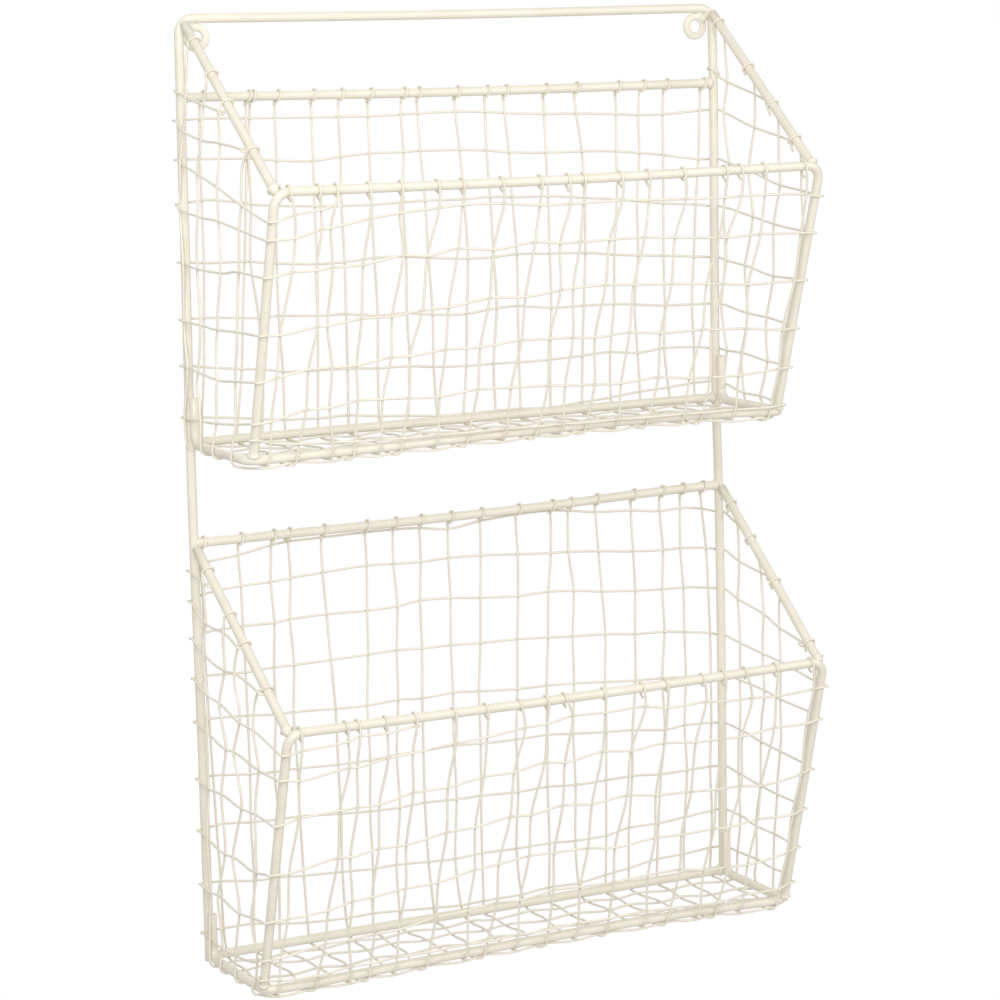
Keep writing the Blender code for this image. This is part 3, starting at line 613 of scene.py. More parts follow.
LOWER_RIGHT_LINE_SHARES = (
    ((0, 0.5755), (0.014, 0.5764), (0.102, 0.581), (0.152, 0.5836), (0.198, 0.587)),
    (
        (0, 0.6195), (0.023, 0.6214), (0.102, 0.6257), (0.16, 0.6282), (0.252, 0.6307),
        (0.352, 0.6332), (0.41, 0.6346), (0.46, 0.638),
    ),
    (
        (0, 0.6645), (0.027, 0.6654), (0.127, 0.6693), (0.152, 0.6725), (0.202, 0.6746),
        (0.302, 0.6793), (0.402, 0.6825), (0.452, 0.685), (0.502, 0.6875), (0.543, 0.6907),
        (0.652, 0.6961), (0.76, 0.7025),
    ),
    (
        (0, 0.7195), (0.031, 0.7207), (0.102, 0.7218), (0.16, 0.7232), (0.318, 0.725),
        (0.368, 0.7264), (0.452, 0.7282), (0.543, 0.7307), (0.66, 0.735), (0.793, 0.7379),
        (0.92, 0.740),
    ),
    (
        (0, 0.766), (0.16, 0.7662), (0.185, 0.7668), (0.318, 0.7689), (0.427, 0.7707),
        (0.535, 0.7725), (0.593, 0.775), (0.727, 0.7771), (0.90, 0.779),
    ),
    (
        (0, 0.823), (0.052, 0.8239), (0.152, 0.8257), (0.252, 0.8264), (0.302, 0.8279),
        (0.402, 0.8318), (0.502, 0.8336), (0.56, 0.8354), (0.685, 0.8368), (0.83, 0.838),
    ),
    (
        (0, 0.8745), (0.039, 0.8746), (0.102, 0.8757), (0.185, 0.8786), (0.302, 0.8821),
        (0.36, 0.8839), (0.477, 0.8839), (0.543, 0.8854), (0.66, 0.8875), (0.76, 0.888),
    ),
    (
        (0, 0.926), (0.043, 0.9264), (0.127, 0.9275), (0.252, 0.9304), (0.352, 0.9325),
        (0.427, 0.9336), (0.61, 0.935), (0.70, 0.935),
    ),
    (
        (0, 0.971), (0.085, 0.9711), (0.235, 0.9721), (0.41, 0.9732), (0.502, 0.9743),
        (0.65, 0.9765),
    ),
)
LOWER_RIGHT_SIDE_WIRE_SHARES = (
    (
        (0.131, 0.572), (0.1420, 0.5880), (0.156, 0.6068), (0.167, 0.6211), (0.166, 0.6336),
        (0.153, 0.6496), (0.141, 0.6657), (0.139, 0.6746), (0.150, 0.6907), (0.1625, 0.7086),
        (0.168, 0.7229), (0.160, 0.7407), (0.152, 0.7657), (0.153, 0.7836), (0.158, 0.8014),
        (0.1625, 0.8193), (0.139, 0.8407), (0.131, 0.8657), (0.129, 0.8836), (0.135, 0.8979),
        (0.1475, 0.9157), (0.154, 0.9271), (0.145, 0.9407), (0.120, 0.9586), (0.1075, 0.9764),
        (0.100, 0.9967),
    ),
    (
        (0.322, 0.603), (0.3380, 0.6140), (0.356, 0.6264), (0.366, 0.6371), (0.377, 0.6514),
        (0.393, 0.6675), (0.402, 0.6782), (0.393, 0.6907), (0.381, 0.7086), (0.374, 0.7211),
        (0.377, 0.7336), (0.387, 0.7479), (0.3975, 0.7621), (0.402, 0.7729), (0.389, 0.7854),
        (0.368, 0.8014), (0.353, 0.8193), (0.349, 0.830), (0.352, 0.8514), (0.356, 0.8729),
        (0.3575, 0.8818), (0.339, 0.8943), (0.314, 0.9121), (0.2975, 0.9264), (0.2975, 0.9407),
        (0.308, 0.9532), (0.316, 0.9639), (0.306, 0.9764), (0.291, 0.9907), (0.287, 0.9967),
    ),
    (
        (0.561, 0.643), (0.541, 0.6550), (0.5325, 0.6729), (0.533, 0.6871), (0.5375, 0.6943),
        (0.550, 0.7121), (0.562, 0.7264), (0.556, 0.7443), (0.543, 0.7621), (0.539, 0.7729),
        (0.5475, 0.7943), (0.556, 0.8157), (0.553, 0.830), (0.543, 0.8407), (0.527, 0.855),
        (0.512, 0.8693), (0.503, 0.8836), (0.500, 0.9014), (0.493, 0.9193), (0.485, 0.9371),
        (0.4725, 0.955), (0.4625, 0.9729), (0.456, 0.9907), (0.453, 0.9967),
    ),
    (
        (0.883, 0.697), (0.872, 0.7143), (0.867, 0.7443), (0.863, 0.762), (0.842, 0.780),
        (0.803, 0.801), (0.780, 0.823), (0.760, 0.8407), (0.730, 0.869), (0.695, 0.8907),
        (0.645, 0.925), (0.615, 0.944), (0.585, 0.962), (0.560, 0.980), (0.543, 0.9967),
    ),
)
# The long wires: where each leaves its rail, meets the wall's ring lines and reaches the floor
UPPER_BACK_WIRE_SHARES = (
    (0.039, 0.0375, 0.0345, 0.0365, 0.035, 0.0335, 0.029, 0.024, 0.022),
    (0.119, 0.117, 0.117, 0.112, 0.108, 0.100, 0.097, 0.086, 0.084),
    (0.1265, 0.125, 0.119, 0.1225, 0.117, 0.130, 0.133, 0.131, 0.129),
    (0.1705, 0.168, 0.1705, 0.165, 0.165, 0.164, 0.170, 0.169, 0.170),
    (0.234, 0.235, 0.234, 0.236, 0.236, 0.236, 0.232, 0.231, 0.230),
    (0.284, 0.282, 0.2855, 0.283, 0.2875, 0.286, 0.2875, 0.285, 0.285),
    (0.337, 0.3375, 0.3365, 0.3395, 0.3405, 0.3455, 0.3415, 0.343, 0.343),
    (0.399, 0.396, 0.401, 0.396, 0.401, 0.398, 0.403, 0.395, 0.392),
    (0.426, 0.429, 0.4305, 0.439, 0.441, 0.448, 0.446, 0.4525, 0.453),
    (0.498, 0.4975, 0.506, 0.5105, 0.517, 0.511, 0.5095, 0.500, 0.4995),
    (0.554, 0.5555, 0.555, 0.562, 0.5645, 0.570, 0.560, 0.564, 0.564),
    (0.5895, 0.591, 0.5995, 0.602, 0.611, 0.609, 0.611, 0.610, 0.6095),
    (0.6665, 0.669, 0.669, 0.6735, 0.673, 0.676, 0.670, 0.671, 0.670),
    (0.726, 0.7295, 0.741, 0.743, 0.7445, 0.738, 0.7355, 0.731, 0.7305),
    (0.808, 0.810, 0.8075, 0.809, 0.800, 0.800, 0.789, 0.7905, 0.7905),
    (0.857, 0.852, 0.855, 0.847, 0.850, 0.8395, 0.846, 0.8475, 0.848),
    (0.905, 0.903, 0.901, 0.902, 0.899, 0.9025, 0.898, 0.9075, 0.910),
    (0.9795, 0.976, 0.9745, 0.966, 0.963, 0.956, 0.961, 0.958, 0.961),
)
UPPER_FRONT_WIRE_SHARES = (
    (0.029, 0.044, 0.043, 0.0345, 0.0345, 0.034, 0.0355),
    (0.0785, 0.086, 0.085, 0.095, 0.089, 0.0905, 0.084),
    (0.108, 0.1025, 0.111, 0.114, 0.1275, 0.1325, 0.1455),
    (0.163, 0.1665, 0.1645, 0.170, 0.172, 0.179, 0.184),
    (0.218, 0.218, 0.230, 0.225, 0.229, 0.2245, 0.230),
    (0.281, 0.284, 0.275, 0.275, 0.264, 0.2695, 0.268),
    (0.325, 0.326, 0.326, 0.323, 0.325, 0.326, 0.331),
    (0.394, 0.3975, 0.391, 0.393, 0.389, 0.392, 0.387),
    (0.463, 0.4645, 0.4625, 0.460, 0.461, 0.455, 0.4555),
    (0.513, 0.518, 0.511, 0.521, 0.5145, 0.521, 0.514),
    (0.541, 0.544, 0.546, 0.546, 0.556, 0.5555, 0.561),
    (0.609, 0.613, 0.602, 0.604, 0.5995, 0.609, 0.606),
    (0.660, 0.665, 0.665, 0.659, 0.662, 0.662, 0.6655),
    (0.726, 0.7325, 0.725, 0.729, 0.724, 0.730, 0.724),
    (0.806, 0.8095, 0.808, 0.7995, 0.8025, 0.794, 0.793),
    (0.835, 0.839, 0.826, 0.8295, 0.823, 0.8325, 0.8305),
    (0.881, 0.886, 0.8875, 0.882, 0.889, 0.891, 0.894),
    (0.959, 0.966, 0.9695, 0.970, 0.9645, 0.9675, 0.9655),
)
LOWER_BACK_WIRE_SHARES = (
    (0.013, 0.012, 0.013, 0.014, 0.014, 0.018, 0.020, 0.0245, 0.0275, 0.031, 0.0345),
    (0.080, 0.078, 0.0825, 0.0825, 0.086, 0.0855, 0.088, 0.085, 0.089, 0.084, 0.087),
    (0.139, 0.139, 0.135, 0.1405, 0.136, 0.138, 0.131, 0.138, 0.133, 0.133, 0.131),
    (0.167, 0.168, 0.172, 0.1675, 0.174, 0.169, 0.1745, 0.1745, 0.180, 0.1825, 0.1855),
    (0.2305, 0.230, 0.2295, 0.236, 0.240, 0.2475, 0.248, 0.252, 0.250, 0.256, 0.259),
    (0.309, 0.309, 0.3125, 0.3095, 0.311, 0.305, 0.3095, 0.305, 0.309, 0.3055, 0.3055),
    (0.363, 0.363, 0.361, 0.368, 0.363, 0.365, 0.358, 0.363, 0.352, 0.357, 0.356),
    (0.4105, 0.411, 0.414, 0.4095, 0.4125, 0.409, 0.4105, 0.409, 0.415, 0.421, 0.423),
    (0.4675, 0.467, 0.465, 0.469, 0.466, 0.4695, 0.4675, 0.472, 0.465, 0.4755, 0.479),
    (0.526, 0.527, 0.529, 0.525, 0.525, 0.518, 0.521, 0.5175, 0.519, 0.518, 0.518),
    (0.598, 0.598, 0.599, 0.600, 0.595, 0.595, 0.589, 0.5925, 0.585, 0.595, 0.599),
    (0.6645, 0.6645, 0.666, 0.658, 0.6575, 0.651, 0.6525, 0.649, 0.6525, 0.648, 0.648),
    (0.701, 0.701, 0.699, 0.710, 0.7045, 0.7075, 0.702, 0.707, 0.7025, 0.709, 0.711),
    (0.753, 0.754, 0.761, 0.7645, 0.772, 0.768, 0.771, 0.767, 0.7675, 0.763, 0.7625),
    (0.8275, 0.8275, 0.829, 0.834, 0.8305, 0.832, 0.8225, 0.8225, 0.812, 0.8125, 0.811),
    (0.885, 0.884, 0.892, 0.8875, 0.893, 0.885, 0.891, 0.880, 0.875, 0.8695, 0.869),
    (0.9275, 0.928, 0.9255, 0.933, 0.932, 0.936, 0.930, 0.936, 0.928, 0.927, 0.927),
    (0.969, 0.971, 0.981, 0.9825, 0.9875, 0.986, 0.988, 0.9825, 0.987, 0.982, 0.981),
)
LOWER_FRONT_WIRE_SHARES = (
    (0.020, 0.024, 0.027, 0.022, 0.026, 0.022, 0.022),
    (0.0985, 0.107, 0.100, 0.104, 0.098, 0.097, 0.090),
    (0.1195, 0.1225, 0.129, 0.1275, 0.138, 0.141, 0.151),
    (0.1675, 0.174, 0.1695, 0.175, 0.1745, 0.184, 0.1855),
    (0.2195, 0.219, 0.226, 0.226, 0.2325, 0.2305, 0.232),
    (0.2885, 0.293, 0.290, 0.2955, 0.293, 0.2945, 0.291),
    (0.346, 0.351, 0.352, 0.3495, 0.356, 0.3555, 0.3625),
    (0.407, 0.417, 0.4095, 0.4105, 0.4025, 0.406, 0.3975),
    (0.4565, 0.4595, 0.462, 0.452, 0.456, 0.4515, 0.456),
    (0.490, 0.504, 0.503, 0.5075, 0.5055, 0.512, 0.515),
    (0.5625, 0.5675, 0.570, 0.566, 0.5675, 0.5655, 0.571),
    (0.6355, 0.641, 0.6275, 0.630, 0.623, 0.628, 0.632),
    (0.681, 0.687, 0.689, 0.689, 0.6975, 0.697, 0.7045),
    (0.7515, 0.759, 0.753, 0.756, 0.7525, 0.7575, 0.7505),
    (0.7925, 0.799, 0.805, 0.809, 0.814, 0.809, 0.811),
    (0.835, 0.850, 0.845, 0.856, 0.849, 0.855, 0.848),
    (0.895, 0.901, 0.905, 0.8995, 0.901, 0.898, 0.898),
    (0.966, 0.973, 0.9725, 0.976, 0.974, 0.9745, 0.9725),
)
# The lines and the wires of each basket's walls
TABLES = {
    "upper": {
        "back": (UPPER_BACK_LINE_SHARES, UPPER_BACK_WIRE_SHARES),
        "front": (UPPER_FRONT_LINE_SHARES, UPPER_FRONT_WIRE_SHARES),
        "left": (UPPER_LEFT_LINE_SHARES, UPPER_LEFT_SIDE_WIRE_SHARES),
        "right": (UPPER_RIGHT_LINE_SHARES, UPPER_RIGHT_SIDE_WIRE_SHARES),
    },
    "lower": {
        "back": (LOWER_BACK_LINE_SHARES, LOWER_BACK_WIRE_SHARES),
        "front": (LOWER_FRONT_LINE_SHARES, LOWER_FRONT_WIRE_SHARES),
        "left": (LOWER_LEFT_LINE_SHARES, LOWER_LEFT_SIDE_WIRE_SHARES),
        "right": (LOWER_RIGHT_LINE_SHARES, LOWER_RIGHT_SIDE_WIRE_SHARES),
    },
}

# Places in the frame
frame_low, frame_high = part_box("back_frame")
rail_low, rail_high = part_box("upper_back_rail")
HALF_WIDTH = frame_high.x - ROD_RADIUS
TOP_Z = frame_high.z - ROD_RADIUS
ROD_Y = (rail_low.y + rail_high.y) / 2
WIRE_LIMIT = cad_high.x - WIRE_RADIUS
WIRE_FLOOR = cad_low.z + WIRE_RADIUS


def middle_z(node):
    """Height of the middle of a CAD node."""
    low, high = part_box(node)
    return (low.z + high.z) / 2


HEIGHT = TOP_Z - middle_z("lower_floor_back_rail")


# Curves

def blend(start, end, start_slope, end_slope, span, t):
    """Between start and end, a share t of the way, with the slopes given at both."""
    return (
        start * (1 + 2 * t) * (1 - t) ** 2
        + start_slope * span * t * (1 - t) ** 2
        + end * t * t * (3 - 2 * t)
        + end_slope * span * t * t * (t - 1)
    )


def smooth(xs, ys):
    """A smooth function through points, straight beyond its ends."""
    xs, ys = np.array(xs, float), np.array(ys, float)
    slopes = np.gradient(ys, xs)

    def at(x):
        if x <= xs[0]:
            return ys[0] + slopes[0] * (x - xs[0])
        if x >= xs[-1]:
            return ys[-1] + slopes[-1] * (x - xs[-1])
        i = int(np.searchsorted(xs, x)) - 1
        span = xs[i + 1] - xs[i]
        return blend(ys[i], ys[i + 1], slopes[i], slopes[i + 1], span, (x - xs[i]) / span)

    return at


def gaps(p):
    """Distances between neighbouring points."""
    return np.linalg.norm(np.diff(p, axis=0), axis=1)


def through(controls, step):
    """Points about a step apart on a smooth curve through control points."""
    p = np.array([tuple(c) for c in controls])
    p = p[np.concatenate([[True], gaps(p) > WIRE_RADIUS / 10])]
    lengths = gaps(p)
    knots = np.concatenate([[0], np.cumsum(np.sqrt(lengths))])
    slopes = np.gradient(p, knots, axis=0)
    points = [p[0]]
    for i, length in enumerate(lengths):
        count = max(1, math.ceil(length / step))
        t = (np.arange(count) + 1)[:, None] / count
        span = knots[i + 1] - knots[i]
        points.extend(blend(p[i], p[i + 1], slopes[i], slopes[i + 1], span, t))
    return np.array(points)


def rounded(corners, radius):
    """A path with each inner corner replaced by an arc."""
    points = [corners[0]]
    for before, corner, after in zip(corners, corners[1:], corners[2:]):
        back, ahead = (before - corner).normalized(), (after - corner).normalized()
        half_angle = back.angle(ahead) / 2
        reach = radius / math.tan(half_angle)
        centre = corner + (back + ahead).normalized() * (radius / math.sin(half_angle))
        first = (corner + back * reach - centre).normalized()
        last = (corner + ahead * reach - centre).normalized()
        points += [
            centre + first.slerp(last, n / ROD_BEND_STEPS) * radius
            for n in range(ROD_BEND_STEPS + 1)
        ]
    points.append(corners[-1])
    return points


def divided(points):
    """A rod's path again, with its long straights divided."""
    dense = [points[0]]
    for a, b in zip(points, points[1:]):
        count = max(1, round((b - a).length / ROD_STEP))
        dense += [a.lerp(b, (n + 1) / count) for n in range(count)]
    return dense


# Tubes

def tube(points, radius, sides, tip=WIRE_TIP, shares=None):
    """Vertices and faces of a rod or wire along points, its ends rounded off."""
    p = np.array([tuple(q) for q in points])
    ahead = np.gradient(p, axis=0)
    ahead /= np.linalg.norm(ahead, axis=1)[:, None]
    across = np.cross(ahead[0], SIDEWAYS)
    across /= np.linalg.norm(across)
    angles = np.arange(sides) * 2 * math.pi / sides
    stations = [(0, -tip * along, width) for along, width in reversed(TIP_SHARES)]
    stations += [(i, 0, 1) for i in range(len(p))]
    stations += [(len(p) - 1, tip * along, width) for along, width in TIP_SHARES]
    verts = []
    for i, along, share in stations:
        across = across - ahead[i] * np.dot(across, ahead[i])
        across /= np.linalg.norm(across)
        other = np.cross(ahead[i], across)
        centre = p[i] + ahead[i] * along * radius
        if shares is not None:
            share *= shares[i]
        for angle in angles:
            verts.append(
                centre + (across * math.cos(angle) + other * math.sin(angle)) * radius * share
            )
    faces = []
    for ring in range(len(stations) - 1):
        for n in range(sides):
            m = (n + 1) % sides
            faces.append((
                ring * sides + n, ring * sides + m,
                (ring + 1) * sides + m, (ring + 1) * sides + n,
            ))
    faces.append(tuple(reversed(range(sides))))
    faces.append(tuple(range((len(stations) - 1) * sides, len(stations) * sides)))
    return verts, faces


def add_piece(node, shapes):
    """The smooth mesh of several shapes that stands for a CAD node."""
    name = "coated_" + node
    verts, faces = [], []
    for shape_verts, shape_faces in shapes:
        start = len(verts)
        verts.extend(shape_verts)
        faces.extend(tuple(start + n for n in face) for face in shape_faces)
    mesh = bpy.data.meshes.new(name)
    mesh.from_pydata([tuple(v) for v in verts], [], faces)
    mesh.polygons.foreach_set("use_smooth", [True] * len(faces))
    mesh.materials.append(coat)
    piece = bpy.data.objects.new(name, mesh)
    bpy.context.scene.collection.objects.link(piece)
    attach(piece, "root")
    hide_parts(node)


def rod(points):
    """A rod along points."""
    return tube(points, ROD_RADIUS, ROD_SIDES, tip=ROD_TIP)


def weld_share(distance):
    """How wide a rod is at a distance from its welded end, as a share of its radius."""
    if distance < ROD_RADIUS:
        rise = 1 - WELD_END_SHARE + WELD_SPREAD
        return WELD_END_SHARE + rise * (distance / ROD_RADIUS) ** WELD_RISE_POWER
    left = max(0, 1 - (distance - ROD_RADIUS) / WELD_REACH)
    return 1 + WELD_SPREAD * left ** WELD_FALL_POWER


def welded_rod(points, ends=(True, True)):
    """A rod whose ends spread into their welds."""
    reach = ROD_RADIUS + WELD_REACH
    for end in ends:
        a, b = points[0], points[1]
        if end:
            near = [
                a.lerp(b, reach * n / WELD_STEPS / (b - a).length)
                for n in range(1, WELD_STEPS + 1)
            ]
            points = [a] + near + points[1:]
        points = points[::-1]
    lengths = [(b - a).length for a, b in zip(points, points[1:])]
    run = np.concatenate([[0], np.cumsum(lengths)])
    shares = [
        (weld_share(d) if ends[0] else 1) * (weld_share(run[-1] - d) if ends[1] else 1)
        for d in run
    ]
    return tube(points, ROD_RADIUS, ROD_SIDES, tip=ROD_TIP, shares=shares)


def wire(points):
    """A wire through control points, kept inside the rack's overall size."""
    path = through(points, WIRE_STEP)
    path[:, 0] = np.clip(path[:, 0], -WIRE_LIMIT, WIRE_LIMIT)
    path[:, 2] = np.maximum(path[:, 2], WIRE_FLOOR)
    return tube(path, WIRE_RADIUS, WIRE_SIDES)


# The coat

def coat_material():
    """Glossy powder coat: a faint unevenness of colour, and the skin's small waves."""
    material = bpy.data.materials.new("ivory_powder_coat")
    material.use_nodes = True
    nodes, links = material.node_tree.nodes, material.node_tree.links
    shader = nodes["Principled BSDF"]
    place = nodes.new("ShaderNodeTexCoord")

    cloud = nodes.new("ShaderNodeTexNoise")
    cloud.inputs["Scale"].default_value = COLOUR_CLOUD_SCALE
    cloud.inputs["Detail"].default_value = COLOUR_CLOUD_DETAIL
    links.new(place.outputs["Object"], cloud.inputs["Vector"])
    ramp = nodes.new("ShaderNodeValToRGB")
    deep, pale = ramp.color_ramp.elements
    deep.position, deep.color = DEEP_BELOW, COAT_DEEP
    pale.position, pale.color = PALE_ABOVE, COAT_PALE
    links.new(cloud.outputs["Fac"], ramp.inputs["Fac"])
    links.new(ramp.outputs["Color"], shader.inputs["Base Color"])

    sheen = nodes.new("ShaderNodeMapRange")
    sheen.inputs["To Min"].default_value = COAT_ROUGHNESS - ROUGHNESS_SWING
    sheen.inputs["To Max"].default_value = COAT_ROUGHNESS + ROUGHNESS_SWING
    links.new(cloud.outputs["Fac"], sheen.inputs["Value"])
    links.new(sheen.outputs["Result"], shader.inputs["Roughness"])

    peel = nodes.new("ShaderNodeTexNoise")
    peel.inputs["Scale"].default_value = PEEL_SCALE
    peel.inputs["Detail"].default_value = PEEL_DETAIL
    links.new(place.outputs["Object"], peel.inputs["Vector"])
    bump = nodes.new("ShaderNodeBump")
    bump.inputs["Strength"].default_value = PEEL_STRENGTH
    bump.inputs["Distance"].default_value = PEEL_HEIGHT
    links.new(peel.outputs["Fac"], bump.inputs["Height"])
    links.new(bump.outputs["Normal"], shader.inputs["Normal"])

    shader.inputs["IOR"].default_value = COAT_IOR
    shader.inputs["Coat Weight"].default_value = SKIN_WEIGHT
    shader.inputs["Coat Roughness"].default_value = SKIN_ROUGHNESS
    return material


coat = coat_material()


# Baskets

SIGNS = {"left": -1, "right": 1}
NORMALS = {
    "front": Vector((0, -1, 0)), "back": Vector((0, 1, 0)),
    "left": Vector((-1, 0, 0)), "right": Vector((1, 0, 0)),
}


def across_share(x):
    """How far a place is from the left upright, as a share of the frame's width."""
    return 0.5 + x / HALF_WIDTH / 2


def across_at(share):
    """The place at a share of the frame's width from the left upright."""
    return (share - 0.5) * 2 * HALF_WIDTH


def stray(shares, at):
    """How far a rod strays at a share of the way along it."""
    places, strays = zip(*shares)
    return float(smooth(places, strays)(min(1, max(0, at)))) * ROD_RADIUS


def upright_stray(side, z):
    """How far an upright strays to the right at a height."""
    return stray(UPRIGHT_STRAY_SHARES[side], (TOP_Z - z) / HEIGHT)


def upright_x(side, z):
    """The middle of an upright at a height."""
    return SIGNS[side] * HALF_WIDTH + upright_stray(side, z)


class Basket:
    """One basket: its rods' places, its walls, and the wires' places on them.

    A place on a wall is a position along it, a drop below the top bar and a distance off
    the plane of its rods. Positions run to the right on the front and back, and outwards
    from the wall on the sides.
    """

    def __init__(self, name):
        self.name = name
        self.back_z = middle_z(name + "_back_rail")
        self.floor_z = middle_z(name + "_floor_back_rail")
        hoop_low, hoop_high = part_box(name + "_front_hoop")
        floor_low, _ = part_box(name + "_floor_ring")
        self.front_z = hoop_high.z - ROD_RADIUS
        self.front_depth = ROD_Y - hoop_low.y - ROD_RADIUS
        self.front_half = hoop_high.x - ROD_RADIUS
        self.floor_depth = ROD_Y - floor_low.y - ROD_RADIUS
        self.lean = math.atan2(self.front_depth - self.floor_depth, self.front_z - self.floor_z)
        self.read_tables()
        self.find_crossings()
        self.floor_crossings = []
        drop = TOP_Z - self.floor_z
        self.floor_wires = [
            smooth((-HALF_WIDTH, HALF_WIDTH), (left(drop), right(drop)))
            for (_, left), (_, right) in zip(self.wires["left"], self.wires["right"])
        ]

    # Rods

    def side_x(self, depth):
        """Half the width between the straight side walls at a depth."""
        return HALF_WIDTH + (self.front_half - HALF_WIDTH) * depth / self.front_depth

    def depth_at(self, z):
        """Depth of the front's plane at a height."""
        return self.floor_depth + (z - self.floor_z) * math.tan(self.lean)

    def rise(self, rail, x):
        """How far a rail strays upwards."""
        return stray(RAIL_RISE_SHARES[self.name][rail], across_share(x))

    def back_rail(self, x):
        """The middle of the back rail."""
        return Vector((x, ROD_Y, self.back_z + self.rise("back", x)))

    def front_rail(self, x):
        """The middle of the front rail."""
        return Vector((x, ROD_Y - self.front_depth, self.front_z + self.rise("front", x)))

    def post(self, side, z):
        """The middle of a front corner post at a height."""
        share = (z - self.floor_z) / (self.front_z - self.floor_z)
        back = FOOT_BACK_SHARES[self.name][side] * ROD_RADIUS * (1 - share)
        depth = self.depth_at(z)
        x = SIGNS[side] * self.side_x(depth) + stray(POST_STRAY_SHARES[self.name][side], share)
        return Vector((x, ROD_Y - depth + back, z))

    def wall_x(self, side, depth, z):
        """A side wall, stretched between its upright and its post."""
        near = upright_x(side, z)
        return near + (self.post(side, z).x - near) * depth / self.depth_at(z)

    def slope(self, side):
        """How far a diagonal drops for each metre of depth."""
        top = TOP_Z - DIAGONAL_TOP_DROPS[self.name][side]
        end = self.front_rail(SIGNS[side] * self.front_half).z - DIAGONAL_END_DROP
        return (top - end) / self.front_depth

    def diagonal(self, side, depth):
        """The middle of a diagonal at a depth."""
        inset = stray(DIAGONAL_INSET_SHARES[self.name][side], depth / self.front_depth)
        return Vector((
            SIGNS[side] * (self.side_x(depth) - inset),
            ROD_Y - depth,
            TOP_Z - DIAGONAL_TOP_DROPS[self.name][side] - depth * self.slope(side),
        ))

    # Walls

    def place(self, wall, position, drop, off):
        """A place on a wall, as a point."""
        z = TOP_Z - drop
        if wall == "back":
            return Vector((position, ROD_Y + off, z))
        if wall == "front":
            return Vector((position, ROD_Y - self.depth_at(z) - off / math.cos(self.lean), z))
        x = self.wall_x(wall, position, z) + SIGNS[wall] * off
        return Vector((x, ROD_Y - position, z))

    def under(self, x, depth, off):
        """A point at a distance below the plane of the floor's rods."""
        share = depth / self.floor_depth
        rise = self.rise("floor_back", x) * (1 - share) + self.rise("floor", x) * share
        return Vector((x, ROD_Y - depth, self.floor_z + rise - off))

    def on_wall(self, side, depth, drop):
        """Where a place read on a straight side wall lies on the wall as it is.

        The two are on one line of sight from where the photograph was taken.
        """
        z = TOP_Z - drop
        straight = Vector((SIGNS[side] * self.side_x(depth), ROD_Y - depth, z))
        sight = straight - Vector(CAMERA_PLACE)
        moved = straight + sight * ((self.wall_x(side, depth, z) - straight.x) / sight.x)
        return ROD_Y - moved.y, TOP_Z - moved.z

    def read_pairs(self, wall, pairs):
        """Positions along a wall and their drops, from shares."""
        if wall in SIGNS:
            return zip(*(self.on_wall(wall, p * self.front_depth, d * HEIGHT) for p, d in pairs))
        return zip(*((across_at(p), d * HEIGHT) for p, d in pairs))

    def read_tables(self):
        """Turn the shares into functions: line drops by position, wire positions by drop."""
        tables = TABLES[self.name]
        self.lines, self.wires = {}, {}
        for wall, (lines, _) in tables.items():
            self.lines[wall] = []
            for pairs in lines:
                positions, drops = self.read_pairs(wall, pairs)
                self.lines[wall].append((positions, smooth(positions, drops)))
        for wall, top, first in (("back", self.back_z, 0), ("front", self.front_z, 1)):
            self.wires[wall] = []
            for shares in tables[wall][1]:
                positions = [across_at(share) for share in shares]
                lines = self.lines[wall][first:first + len(shares) - 2]
                levels = [TOP_Z - top]
                levels += [line(p) for (_, line), p in zip(lines, positions[1:])]
                levels.append(TOP_Z - self.floor_z)
                self.wires[wall].append((levels, smooth(levels, positions)))
        for wall in SIGNS:
            self.wires[wall] = []
            for pairs in tables[wall][1]:
                positions, levels = self.read_pairs(wall, pairs)
                self.wires[wall].append((levels, smooth(levels, positions)))

    def find_crossings(self):
        """Where each line of a wall meets each wire, and which of the two is outside."""
        self.crossings = {}
        for wall in self.lines:
            for number, (reach, line) in enumerate(self.lines[wall]):
                for other, (levels, run) in enumerate(self.wires[wall]):
                    drop = line((reach[0] + reach[-1]) / 2)
                    for _ in range(WALL_ROUNDS):
                        position = run(drop)
                        drop = line(position)
                    if not reach[0] <= position <= reach[-1]:
                        continue
                    if not levels[0] + WIRE_RADIUS <= drop <= levels[-1] - WIRE_RADIUS:
                        continue
                    side = 1 if (number + other) % 2 else -1
                    self.crossings[wall, number, other] = (position, drop, side)

    def run_down(self, wall, other):
        """Control points of a wire down a wall, bent in and out by what it crosses."""
        levels, run = self.wires[wall][other]
        found = [c for (w, _, o), c in self.crossings.items() if w == wall and o == other]
        found.sort(key=lambda c: c[1])
        drops = [c[1] for c in found]
        offs = [WRAP_RADIUS - c[2] * WIRE_WEAVE for c in found]
        lone = [x for x in levels[1:-1] if min(abs(x - d) for d in drops) > CROSSING_REACH]
        return [
            self.place(wall, run(drop), drop, float(np.interp(drop, drops, offs)))
            for drop in sorted(drops + lone)
        ]

    def run_along(self, wall, number):
        """Control points of a line along a wall, bent in and out by what it crosses."""
        found = [c for (w, n, _), c in self.crossings.items() if w == wall and n == number]
        return [
            self.place(wall, position, drop, WRAP_RADIUS + side * RING_WEAVE)
            for position, drop, side in sorted(found)
        ]


# Long wires

def round_rail(centre_at, x, start, stop, outward, creep):
    """Control points of a wire round a rail: 0 degrees is outside, 90 on top."""
    count = max(2, round(abs(stop - start) / BEND_STEP_DEGREES))
    places, shifts = zip(*creep)
    points = []
    for n in range(count + 1):
        angle = start + (stop - start) * n / count
        at = x + float(np.interp(angle, places, shifts))
        turn = math.radians(angle)
        points.append(
            centre_at(at)
            + Vector((0, outward * math.cos(turn), math.sin(turn))) * WRAP_RADIUS
        )
    return points


